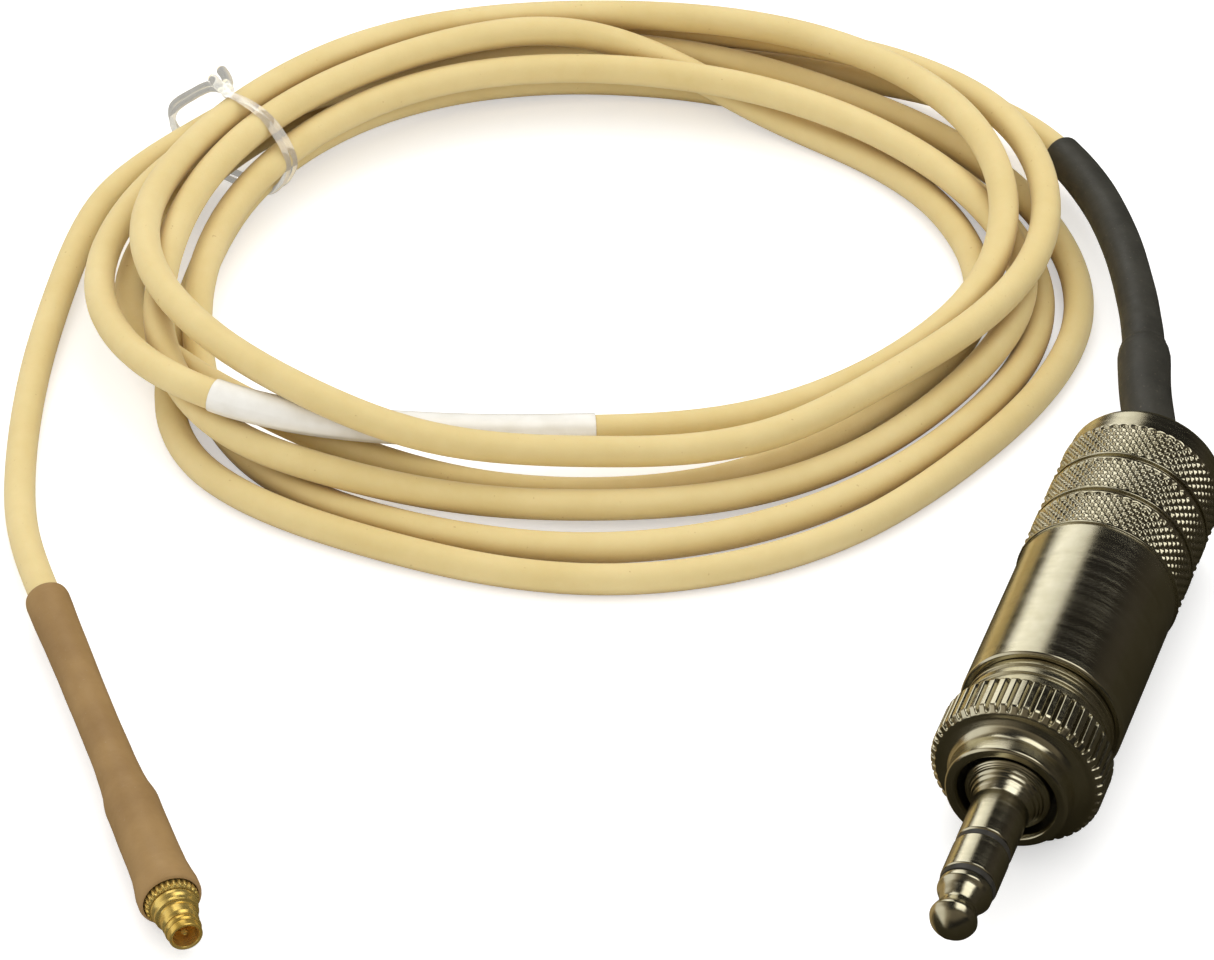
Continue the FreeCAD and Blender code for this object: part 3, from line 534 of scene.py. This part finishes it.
# ---------------------------------------------------------------- cable and its sleeves
def cleaned(outline, closed):
    """Outline without points that nearly repeat their neighbour or lie on a straight run."""
    near, straight = 0.012 * MM, 0.004 * MM
    points = [Vector(point) for point in outline]
    kept = []
    for index, point in enumerate(points):
        if kept and (point - kept[-1]).length < near:
            continue
        onward = points[(index + 1) % len(points)]
        if kept and (closed or index < len(points) - 1):
            run = onward - kept[-1]
            bow = abs((point - kept[-1]).cross(run)) / max(run.length, 1e-9)
            forward = (point - kept[-1]).dot(run) > 0 and (onward - point).dot(run) > 0
            if bow < straight and forward:
                continue
        kept.append(point)
    return kept


# The cable's middle line starts this far behind the jack plug's origin; distances run from there.
CORE_START = 17.8 * MM
LINE_STEP = 0.4 * MM
NOSE = Vector(MOUNTS["jack_sleeve"]["axis"])
CORE = centreline("cable_conductor", JACK @ Vector((0, 0, -CORE_START)), -NOSE)
LINE = Path(smoothed(CORE, 2), LINE_STEP)
LENGTH = LINE.lengths[-1]
CABLE_RADIUS = 1.0 * MM


def steps(start, end, step):
    """Even distances from start to end, about a step apart."""
    count = max(2, round((end - start) / step) + 1)
    return list(np.linspace(start, end, count))


def profile(corners, step):
    """Stations with a radius that eases between (distance, radius) corners."""
    rows = []
    for (start, first), (end, last) in zip(corners, corners[1:]):
        for distance in steps(start, end, step)[:-1]:
            share = (distance - start) / (end - start)
            rows.append((distance, first + (last - first) * share * share * (3 - 2 * share)))
    return rows + [corners[-1]]


def jacket():
    """Cable jacket from inside the jack plug to inside the snap plug."""
    start, end = 1.2 * MM, LENGTH - 1.8 * MM
    eye, edge = 0.05 * MM, 0.2 * MM
    unevenness, wave = 0.012 * MM, 5 * MM
    rows = [(start, eye), (start, CABLE_RADIUS)]
    rows += [(distance, CABLE_RADIUS) for distance in steps(start + edge, end - edge, LINE_STEP)]
    rows += [(end, CABLE_RADIUS), (end, eye)]

    def skin(angle, distance, radius):
        return unevenness * wander(distance, angle, wave, 3.0) if radius > eye else 0.0

    item = pipe("cable_jacket_skin", LINE, rows, ROOT, TAN, ["cable_jacket"], 24, skin)


def in_mm(rows):
    """Rows of (distance, radius) written in millimetres, as metres."""
    return [(distance * MM, radius * MM) for distance, radius in rows]


def black_sleeves():
    """Long thin sleeve on the cable, and a short thick one over its first part.

    The thick sleeve swells slightly before its end, where it was shrunk over the thin one.
    """
    thin, thick = 1.37, 1.60
    thin_end, thick_end = 51.0, 27.0
    rows = profile(in_mm([(4.8, thin), (26, thin), (38, thin - 0.03), (47, thin + 0.01),
                          (thin_end - 0.5, thin - 0.01)]), 0.35 * MM)
    rows += lip(thin_end * MM, (thin - 0.01) * MM, CABLE_RADIUS + 0.04 * MM, 0.16 * MM)

    def soft(angle, distance, radius):
        unevenness, wave, bore = 0.035 * MM, 3.2 * MM, 1.1 * MM
        return unevenness * wander(distance, angle, wave, 8.0) * (radius > bore)

    item = pipe("inner_black_sleeve", LINE, rows, ROOT, BLACK, ["heatshrink_inner"], 32, soft)
    swell = thick + 0.12
    rows = profile(in_mm([(8.7, thick), (16, thick), (19, thick + 0.06), (23.6, thick + 0.10),
                          (25.5, swell)]), 0.3 * MM)
    rows += profile(in_mm([(25.55, swell), (26.1, thick + 0.06), (thick_end - 0.25, thick - 0.10)]),
                    0.12 * MM)
    rows += lip(thick_end * MM, (thick - 0.11) * MM, (thin + 0.02) * MM, 0.07 * MM)

    def firm(angle, distance, radius):
        unevenness, wave, bore = 0.025 * MM, 2.6 * MM, 1.42 * MM
        return unevenness * wander(distance, angle, wave, 21.0) * (radius > bore)

    item = pipe("outer_black_sleeve", LINE, rows, ROOT, BLACK, ["heatshrink_outer"], 36, firm)


def label():
    """Film wrapped once round the cable, its overlap running along the top edge."""
    longest_half = 45 * MM
    spots = LINE.nearest(corners_of("cable_label"))
    spots = spots[np.abs(spots - np.median(spots)) < longest_half]
    start, end = spots.min(), spots.max()
    outer, inner = CABLE_RADIUS + 0.10 * MM, CABLE_RADIUS + 0.02 * MM
    inside, edge, edge_drop = 3 * MM, 0.05 * MM, 0.02 * MM
    rows = [(start + inside, inner), (start, inner), (start, outer - edge_drop), (start + edge, outer)]
    rows += [(distance, outer) for distance in steps(start + LINE_STEP, end - LINE_STEP, LINE_STEP)]
    rows += [(end - edge, outer), (end, outer - edge_drop), (end, inner), (end - inside, inner)]
    flap_start, flap_width, flap_height = math.radians(62), math.radians(50), 0.05 * MM
    unevenness, wave = 0.015 * MM, 2.4 * MM

    def wrap(angle, distance, radius):
        if radius < outer - 0.5 * edge_drop:
            return 0.0
        beyond = (angle - flap_start) % (2 * math.pi)
        flap = flap_height if beyond < flap_width else 0.0
        return flap + unevenness * wander(distance, angle, wave, 40.0)

    item = pipe("wrap_label", LINE, rows, ROOT, WHITE, ["cable_label"], 56, wrap)


# ---------------------------------------------------------------- tie
def tie_crossings():
    """Plane of the tie and where the strands cross it, as (outward, height) from the tie's middle."""
    widest = 9 * MM
    low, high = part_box("tie")
    middle = np.array((low + high) / 2)
    gaps = np.linalg.norm(LINE.points[:, :2] - middle[:2], axis=1)
    heading = LINE.headings[int(gaps.argmin())]
    outward = np.array([-heading[1], heading[0], 0.0])
    outward /= np.linalg.norm(outward)
    if outward.dot(middle - np.array((CAD_BOX[0] + CAD_BOX[1]) / 2)) < 0:
        outward = -outward
    along = np.cross(outward, [0.0, 0.0, 1.0])
    signed = (LINE.points - middle) @ along
    found = []
    for index in np.nonzero(signed[:-1] * signed[1:] < 0)[0]:
        point = LINE.points[index]
        if np.linalg.norm(point - middle) < widest:
            found.append(((point - middle).dot(outward), point[2]))
    return middle, outward, along, found


def tie_point(plane, across, height, aside):
    middle, outward, along, _ = plane
    point = middle + outward * across + along * aside
    point[2] = height
    return point


def elastic(name, points, radius, rounds=6):
    """Round elastic through points, smoothed and a little uneven, with domed ends."""
    coarse, fine, sides = 0.35 * MM, 0.12 * MM, 14
    path = Path(smoothed(evenly(np.array(points), coarse)[0], rounds), fine)
    length = path.lengths[-1]
    dome = [(radius * (1 - math.cos(turn)), radius * math.sin(turn)) for turn in np.linspace(0.15, 1.4, 5)]
    rows = list(dome)
    rows += [(distance, radius) for distance in steps(0, length, fine) if radius < distance < length - radius]
    rows += [(length - distance, reach) for distance, reach in reversed(dome)]

    def swell(angle, distance, reach):
        unevenness, wave = 0.09, 1.1 * MM
        return unevenness * reach * wander(distance, angle, wave, 60.0)

    pipe(name, path, rows, ROOT, CLEAR, ["tie"], sides, swell)


def tie():
    """Double loop of clear elastic round the strands: tight inside, slack outside, knotted on top."""
    plane = tie_crossings()
    outward, along, strands = plane[1:]
    up = np.array([0.0, 0.0, 1.0])
    thin, thick = 0.22 * MM, 0.36 * MM
    clear = CABLE_RADIUS + 0.03 * MM + thin
    lowest = thin + 0.02 * MM
    knot_angle = math.radians(68)
    slack_start, slack_swing = -66, 130

    def spot(angle, aside, slack):
        """Place on the loop at an angle round the strands; slack lifts it off them on the outer side."""
        ray = (math.cos(angle), math.sin(angle))
        outermost = max(strands, key=lambda strand: strand[0] * ray[0] + strand[1] * ray[1])
        swing = (math.degrees(angle) - slack_start) % 360
        loose = slack * math.sin(math.pi * swing / slack_swing) ** 0.6 if swing < slack_swing else 0.0
        height = max(outermost[1] + ray[1] * clear, lowest)
        return tie_point(plane, outermost[0] + ray[0] * (clear + loose), height + ray[1] * loose, aside)

    knot = spot(knot_angle, 0.0, 0.0)
    for number, side in ((1, -1), (2, 1)):
        ring = []
        for share in np.linspace(0, 1, 61):
            bow = max(math.sin(math.pi * share), 0.0)
            spread = (0.20 + 0.22 * bow) * bow ** 0.5
            ring.append(spot(knot_angle + 2 * math.pi * share, side * spread * MM, (1.75 + 0.25 * side) * MM))
        elastic(f"tie_loop_{number}", ring, thin, 16)
    away = outward * 0.30 + up * 0.95
    away /= np.linalg.norm(away)
    square = np.cross(away, along)
    coil = []
    coil_turns, coil_height, coil_sink = 2.2, 0.85 * MM, 0.05 * MM
    coil_reach, coil_breath = 0.42 * MM, 0.10 * MM
    for share in np.linspace(0, 1, 48):
        angle = 2 * math.pi * coil_turns * share
        reach = coil_reach + coil_breath * math.sin(2 * math.pi * share)
        coil.append(knot + away * (coil_height * share - coil_sink)
                    + (along * math.cos(angle) + square * math.sin(angle)) * reach)
    elastic("tie_knot", coil, thick * 0.85)
    for number, side, length in ((1, -1, 1.25 * MM), (2, 1, 1.05 * MM)):
        stub = []
        for share in np.linspace(0, 1, 14):
            lean = (0.25 + 0.35 * number) * MM * share ** 1.5
            part = side * (0.18 + 0.55 * math.sin(2.2 * share)) * MM
            stub.append(knot + away * (0.3 * MM + length * share) + outward * lean + along * part)
        elastic(f"tie_end_{number}", stub, thick)


# ---------------------------------------------------------------- jack plug
def ease(value, low, high):
    """0 below low, 1 above high, and a smooth rise between them."""
    share = min(max((value - low) / (high - low), 0.0), 1.0)
    return share * share * (3 - 2 * share)


def face_rings(outline):
    """Outline of the plug body with fine turned rings on the sloping face round the finger."""
    inner, outer, pitch, depth = 1.85 * MM, 2.55 * MM, 0.17 * MM, 0.02 * MM
    behind_face, face_foot, face_top = -0.05 * MM, 0.02 * MM, 1.3 * MM
    result = []
    for radius, height in finely(outline, behind_face, face_top, 0.2 * pitch):
        if inner < radius < outer and height > face_foot:
            height += depth * math.sin(2 * math.pi * radius / pitch)
        result.append(Vector((radius, height)))
    return result


def turned_node(node, plug, material, radius, segments=160, dress=None):
    """Node rebuilt as a turned piece with rounded edges; dress may rework its outline."""
    outline, closed = outline_of(node, plug)
    outline = rounded(cleaned(outline, closed), closed, radius)
    if dress:
        outline = dress(outline)
    if not closed:
        outline = [Vector((0, outline[0][1]))] + outline + [Vector((0, outline[-1][1]))]
    item = lathe(node + "_turned", outline, closed, plug, ROOT, material, [node], segments)


def plug_finger():
    turned_node("plug_tip", JACK, NICKEL, 0.20 * MM)
    turned_node("plug_ring", JACK, NICKEL, 0.07 * MM)
    turned_node("tip_insulator", JACK, DARK, 0.03 * MM)
    turned_node("ring_insulator", JACK, DARK, 0.03 * MM)
    turned_node("plug_body", JACK, NICKEL, 0.09 * MM, dress=face_rings)
    turned_node("stop_collar", JACK, COLLAR, 0.05 * MM)


def lock_nut():
    """Ribbed ring with a smooth nose that flares into it, a bore and a wide recess at the rear."""
    radii, heights = in_plug(corners_of("lock_nut"), JACK)
    rear, front = heights.min(), heights.max()
    outer = radii.max()
    nose, bore, recess = 3.8 * MM, 3.05 * MM, 4.75 * MM
    chamfer, recess_end = 0.14 * MM, rear + 2.3 * MM
    knurl_rear, knurl_front = rear + 0.35 * MM, front - 2.3 * MM
    crown = knurl_front + 0.32 * MM
    flare = [(0, 1.2), (0.07, 1.45), (0.30, 1.75), (0.75, 1.95)]
    outline = [(bore, front - 0.24 * MM), (bore + 0.16 * MM, front), (nose - chamfer, front),
               (nose, front - chamfer)]
    outline += [(nose + out * MM, front - back * MM) for out, back in flare]
    outline += [(outer - 0.45 * MM, crown), (outer - 0.05 * MM, knurl_front),
                (outer, knurl_front - 0.15 * MM), (outer, knurl_rear), (outer - 0.28 * MM, rear),
                (recess, rear), (recess, recess_end), (bore, recess_end)]
    outline = finely(rounded([Vector(point) for point in outline], True, 0.10 * MM), rear, crown, 0.16 * MM)
    ribs, segments_per_rib = 48, 12
    groove_depth, wall_start, wall_end = 0.34 * MM, 0.27, 0.46

    def grooves(angle, radius, height):
        if radius < outer - 0.5 * MM:
            return 0.0
        share = abs((angle * ribs / (2 * math.pi)) % 1.0 - 0.5)
        fade = ease(height, rear - 0.02 * MM, rear + 0.12 * MM) * (1 - ease(height, knurl_front, crown))
        return -groove_depth * ease(share, wall_start, wall_end) * fade

    item = lathe("lock_nut_ribbed", outline, True, JACK, "nut", NICKEL, ["lock_nut"],
                 ribs * segments_per_rib, grooves)


def handle():
    """Barrel with three raised bands of diamond knurling, each with a smooth edge."""
    outline, closed = outline_of("handle", JACK)
    outline = cleaned(outline, closed)
    outer = max(point[0] for point in outline)
    ends = sorted({round(point[1], 7) for point in outline if point[0] > outer - 0.02 * MM})
    bands = list(zip(ends[0::2], ends[1::2]))
    outline = rounded(outline, closed, 0.07 * MM)
    outline = finely(outline, bands[0][0], bands[-1][1], 0.065 * MM)
    around, segments_per_diamond = 52, 9
    pitch = 2 * math.pi * outer / around
    diamond_length = 1.15 * pitch
    depth, smooth_edge, full_from = 0.17 * MM, 0.12 * MM, 0.30 * MM

    def knurl(angle, radius, height):
        if radius < outer - 0.07 * MM:
            return 0.0
        for low, high in bands:
            if low <= height <= high:
                turn, rise = angle * around / (2 * math.pi), height / diamond_length
                first = 1 - abs(2 * ((turn + rise) % 1.0) - 1)
                second = 1 - abs(2 * ((turn - rise) % 1.0) - 1)
                crest = min(1.0, 1.5 * min(first, second) ** 0.9)
                edge = min(height - low, high - height)
                return -depth * (1 - crest) * ease(edge, smooth_edge, full_from)
        return 0.0

    item = lathe("handle_knurled", outline, closed, JACK, "handle_barrel", NICKEL, ["handle"],
                 around * segments_per_diamond, knurl)


# ---------------------------------------------------------------- snap plug
def snap_contacts():
    turned_node("connector_shell", SNAP, GOLD, 0.06 * MM, 144)
    turned_node("dielectric", SNAP, PTFE, 0.03 * MM, 72)
    turned_node("centre_pin", SNAP, GOLD, 0.05 * MM, 48)


def snap_ring():
    """Crowned ring that gives the snap."""
    radii, heights = in_plug(corners_of("snap_ring"), SNAP)
    low, high, inner, outer = heights.min(), heights.max(), radii.min(), radii.max()
    middle, flat = (low + high) / 2, 0.35 * (high - low) / 2
    shoulder = outer - 0.09 * MM
    outline = [(inner, low), (inner, high), (shoulder, high), (outer, middle + flat), (outer, middle - flat),
               (shoulder, low)]
    outline = rounded([Vector(point) for point in outline], True, 0.04 * MM)
    item = lathe("snap_ring_turned", outline, True, SNAP, ROOT, GOLD, ["snap_ring"], 96)


def ferrule():
    """Serrated ring in front of the crimped tube that runs under the brown sleeve."""
    radii, heights = in_plug(corners_of("crimp_ferrule"), SNAP)
    front, rear, outer, bore = heights.max(), heights.min(), radii.max(), radii.min()
    crest = front - 2.25 * MM
    tube = outer - 0.14 * MM
    outline = [(bore, front), (outer - 0.16 * MM, front), (outer, front - 0.14 * MM), (outer, crest),
               (tube, crest - 0.18 * MM), (tube, rear), (bore, rear)]
    outline = finely(rounded([Vector(point) for point in outline], True, 0.05 * MM), crest, front, 0.10 * MM)
    teeth, segments_per_tooth, tooth_depth = 28, 10, 0.13 * MM

    def serration(angle, radius, height):
        if radius < outer - 0.1 * MM:
            return 0.0
        share = abs((angle * teeth / (2 * math.pi)) % 1.0 - 0.5)
        return -tooth_depth * ease(share, 0.12, 0.5) * ease(height, crest - 0.05 * MM, crest + 0.5 * MM)

    item = lathe("ferrule_serrated", outline, True, SNAP, ROOT, GOLD, ["crimp_ferrule"],
                 teeth * segments_per_tooth, serration)


def brown_sleeve():
    """Shrunk sleeve: flared over the ferrule, stepped down on to the cable, slightly uneven."""
    _, heights = in_plug(corners_of("brown_heatshrink"), SNAP)
    front, rear = heights.max(), heights.min()
    flare = [(0.10, 1.89), (0.30, 1.95), (0.95, 1.94), (1.6, 1.84), (2.5, 1.74)]
    over_ferrule = [(4.0, 1.69), (7.4, 1.66), (8.7, 1.68)]
    step_down = [(9.2, 1.62), (9.9, 1.49), (10.9, 1.39), (12.4, 1.31), (15.5, 1.28)]
    on_cable = [(20.5, 1.29), (24.5, 1.33), (27.2, 1.40), (28.2, 1.42)]
    wide_bore, middle_bore, cable_bore = 1.70 * MM, 1.52 * MM, CABLE_RADIUS + 0.07 * MM
    outline = [Vector((wide_bore, front))]
    for back, radius in flare + over_ferrule + step_down + on_cable:
        outline.append(Vector((radius * MM, front - back * MM)))
    outline += [Vector((1.36 * MM, rear)), Vector((cable_bore, rear)), Vector((cable_bore, rear + 3 * MM)),
                Vector((cable_bore, front - 12 * MM)), Vector((middle_bore, front - 8.6 * MM)),
                Vector((wide_bore, front - 2 * MM))]
    outline = finely(rounded(outline, True, 0.12 * MM), rear, front, 0.35 * MM)
    thinnest, unevenness, wave = 1.24 * MM, 0.030 * MM, 2.6 * MM

    def shrunk(angle, radius, height):
        if radius < thinnest or height > front - 0.02 * MM:
            return 0.0
        return unevenness * wander(height, angle, wave, 77.0)

    item = lathe("brown_sleeve", outline, True, SNAP, ROOT, BROWN, ["brown_heatshrink"], 72, shrunk)


# ---------------------------------------------------------------- pieces kept as packed
def kept_nodes():
    """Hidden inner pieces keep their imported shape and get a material."""
    finishes = {
        "cable_shield": COPPER, "cable_insulation": INSULATION, "cable_conductor": COPPER,
        "handle_liner": FILM,
        "guide_ring": DARK, "front_washer": DARK, "rear_washer": DARK, "cable_clamp": TERMINAL,
        "ring_terminal": TERMINAL, "tip_terminal": TERMINAL}
    for node, material in finishes.items():
        mesh = NODES[node].data
        mesh.materials.clear()
        mesh.materials.append(material)
        mesh.polygons.foreach_set("use_smooth", [True] * len(mesh.polygons))


jacket()
black_sleeves()
label()
tie()
plug_finger()
lock_nut()
handle()
snap_contacts()
snap_ring()
ferrule()
brown_sleeve()
kept_nodes()


# ---------------------------------------------------------------- floor, light, camera
def floor():
    """White table; reflections see it painted dark, with a painted tan reflection towards the left and
    behind, like the coil's side.
    """
    half, drop, own_glow = 0.9, 0.03 * MM, 0.42
    dark, tan = (0.030, 0.026, 0.016, 1), (0.34, 0.26, 0.14, 1)
    mesh = bpy.data.meshes.new("floor")
    corners = [(-half, -half, 0), (half, -half, 0), (half, half, 0), (-half, half, 0)]
    mesh.from_pydata(corners, [], [(0, 1, 2, 3)])
    item = bpy.data.objects.new("floor", mesh)
    item.location.z = CAD_BOX[0][2] - drop
    bpy.context.scene.collection.objects.link(item)
    finish = Finish("floor")
    rays = finish.nodes.new("ShaderNodeLightPath")
    grain = finish.ramp(finish.noise(60, 3), [(0.3, 0.90), (0.7, 0.93)])
    heading = finish.nodes.new("ShaderNodeSeparateXYZ")
    finish.links.new(finish.nodes.new("ShaderNodeNewGeometry").outputs["Incoming"], heading.inputs[0])
    leftward = finish.ramp(heading.outputs["X"], [(0.12, 0.0), (0.38, 1.0)])
    away = finish.ramp(finish.scaled(heading.outputs["Y"], -1.0), [(0.15, 0.0), (0.5, 1.0)])
    # Painted reflection: glossy rays see the floor dark, and tan towards the left and behind.
    reflected = finish.mix(finish.mix(1.0, leftward, away, "MULTIPLY"), dark, tan)
    tone = finish.mix(rays.outputs["Is Glossy Ray"], grain, reflected)
    glow = finish.scaled(rays.outputs["Is Camera Ray"], own_glow)
    mesh.materials.append(finish.set(Base_Color=tone, Roughness=0.9, Specular_IOR_Level=0.0,
                                     Emission_Color=PLAIN_WHITE, Emission_Strength=glow))


def world():
    """White dome for soft light on the matte pieces; reflections see a dim room with bright panels instead.

    The room in the reflections, by direction (x to the right, y to the back, z up): one panel behind,
    brighter towards the left; one panel overhead, a little to the right; a window at the far left in a dim
    wall; a dim wall at the far right; and a dim glow high in front. Bright parts are white, dim parts warm.
    """
    dome = bpy.data.worlds.new("studio")
    bpy.context.scene.world = dome
    dome.use_nodes = True
    nodes, links = dome.node_tree.nodes, dome.node_tree.links
    nodes.clear()
    behind_at_centre, behind_slope, overhead_level, panel_level = 0.76, 1.60, 1.5, 1.05
    wall_level, window_level, right_level, front_level, room_level = 0.20, 0.60, 0.035, 0.12, 0.005
    white_from = 0.9
    horizon_level, zenith_lift = 0.80, 0.28

    def add(kind, **values):
        node = nodes.new(kind)
        for key, value in values.items():
            setattr(node, key, value)
        return node

    def feed(socket, value):
        if isinstance(value, bpy.types.NodeSocket):
            links.new(value, socket)
        else:
            socket.default_value = value

    def math_node(operation, first, second):
        node = add("ShaderNodeMath", operation=operation)
        feed(node.inputs[0], first)
        feed(node.inputs[1], second)
        return node.outputs[0]

    def product(*factors):
        result = factors[0]
        for factor in factors[1:]:
            result = math_node("MULTIPLY", result, factor)
        return result

    def total(*parts):
        result = parts[0]
        for part in parts[1:]:
            result = math_node("ADD", result, part)
        return result

    def rising(value, low, high):
        """0 below low, 1 above high, and a smooth rise between them."""
        node = add("ShaderNodeMapRange", interpolation_type="SMOOTHSTEP", clamp=True)
        links.new(value, node.inputs["Value"])
        node.inputs["From Min"].default_value = low
        node.inputs["From Max"].default_value = high
        return node.outputs["Result"]

    def falling(value, low, high):
        return math_node("SUBTRACT", 1.0, rising(value, low, high))

    def between(value, rise, fall):
        return product(rising(value, *rise), falling(value, *fall))

    def background(tone, strength=1.0):
        node = add("ShaderNodeBackground")
        feed(node.inputs["Color"], tone)
        feed(node.inputs["Strength"], strength)
        return node.outputs[0]

    def chosen(share, first, second):
        """The second background for rays of one kind, the first for all others."""
        node = add("ShaderNodeMixShader")
        for socket, value in zip(node.inputs, (share, first, second)):
            links.new(value, socket)
        return node.outputs[0]

    split = add("ShaderNodeSeparateXYZ")
    links.new(add("ShaderNodeTexCoord").outputs["Generated"], split.inputs[0])
    x, y, z = split.outputs
    brighter_left = math_node("SUBTRACT", behind_at_centre, product(x, behind_slope))
    behind = product(between(x, (-0.50, -0.44), (0.00, 0.07)), rising(y, 0.42, 0.56), rising(z, 0.12, 0.30),
                     brighter_left)
    overhead = product(between(x, (-0.05, 0.18), (0.62, 0.74)), between(y, (-0.40, -0.15), (0.30, 0.44)),
                       product(rising(z, 0.30, 0.50), overhead_level))
    wall = product(falling(x, -0.75, -0.32), wall_level)
    window = product(falling(x, -0.88, -0.62), window_level)
    right = product(rising(x, 0.66, 0.92), right_level)
    front = product(falling(y, -0.62, -0.32), rising(z, 0.22, 0.50), front_level)
    room = total(total(wall, window, right), total(front, room_level))
    glow = total(product(total(behind, overhead), panel_level), room)
    tint = add("ShaderNodeMix", data_type="RGBA")
    links.new(rising(glow, 0.0, white_from), tint.inputs[0])
    tint.inputs[6].default_value = (1.0, 0.84, 0.60, 1)
    tint.inputs[7].default_value = (1.0, 0.99, 0.95, 1)
    reflected = background(tint.outputs[2], glow)
    soft = background((1.0, 0.99, 0.97, 1), total(product(rising(z, 0.0, 1.0), zenith_lift), horizon_level))
    rays = add("ShaderNodeLightPath")
    lit = chosen(rays.outputs["Is Glossy Ray"], soft, reflected)
    seen = chosen(rays.outputs["Is Camera Ray"], lit, background(PLAIN_WHITE))
    links.new(seen, add("ShaderNodeOutputWorld").inputs["Surface"])


def camera():
    """Long lens in front, looking down at 40 degrees at a point close to the middle of the object."""
    elevation, distance = math.radians(40), 400 * MM
    aim = Vector((0.344 * MM, 0.714 * MM, 0))
    data = bpy.data.cameras.new("camera")
    data.lens = 185.04
    data.sensor_width = 36.0
    item = bpy.data.objects.new("camera", data)
    bpy.context.scene.collection.objects.link(item)
    back = Vector((0, -math.cos(elevation), math.sin(elevation)))
    item.location = aim + back * distance
    item.rotation_euler = (math.pi / 2 - elevation, 0, 0)
    bpy.context.scene.camera = item


def lamp():
    """Broad soft key from behind and above, for a little shape on the matte pieces; reflections miss it."""
    data = bpy.data.lights.new("key", "AREA")
    data.shape = "RECTANGLE"
    data.size, data.size_y = 0.35, 0.25
    data.energy = 0.55
    item = bpy.data.objects.new("key", data)
    bpy.context.scene.collection.objects.link(item)
    item.location = (0.03, 0.26, 0.42)
    item.rotation_euler = (-item.location).to_track_quat("-Z", "Y").to_euler()
    item.visible_glossy = False


floor()
world()
camera()
lamp()
bpy.context.scene.view_settings.view_transform = "Standard"
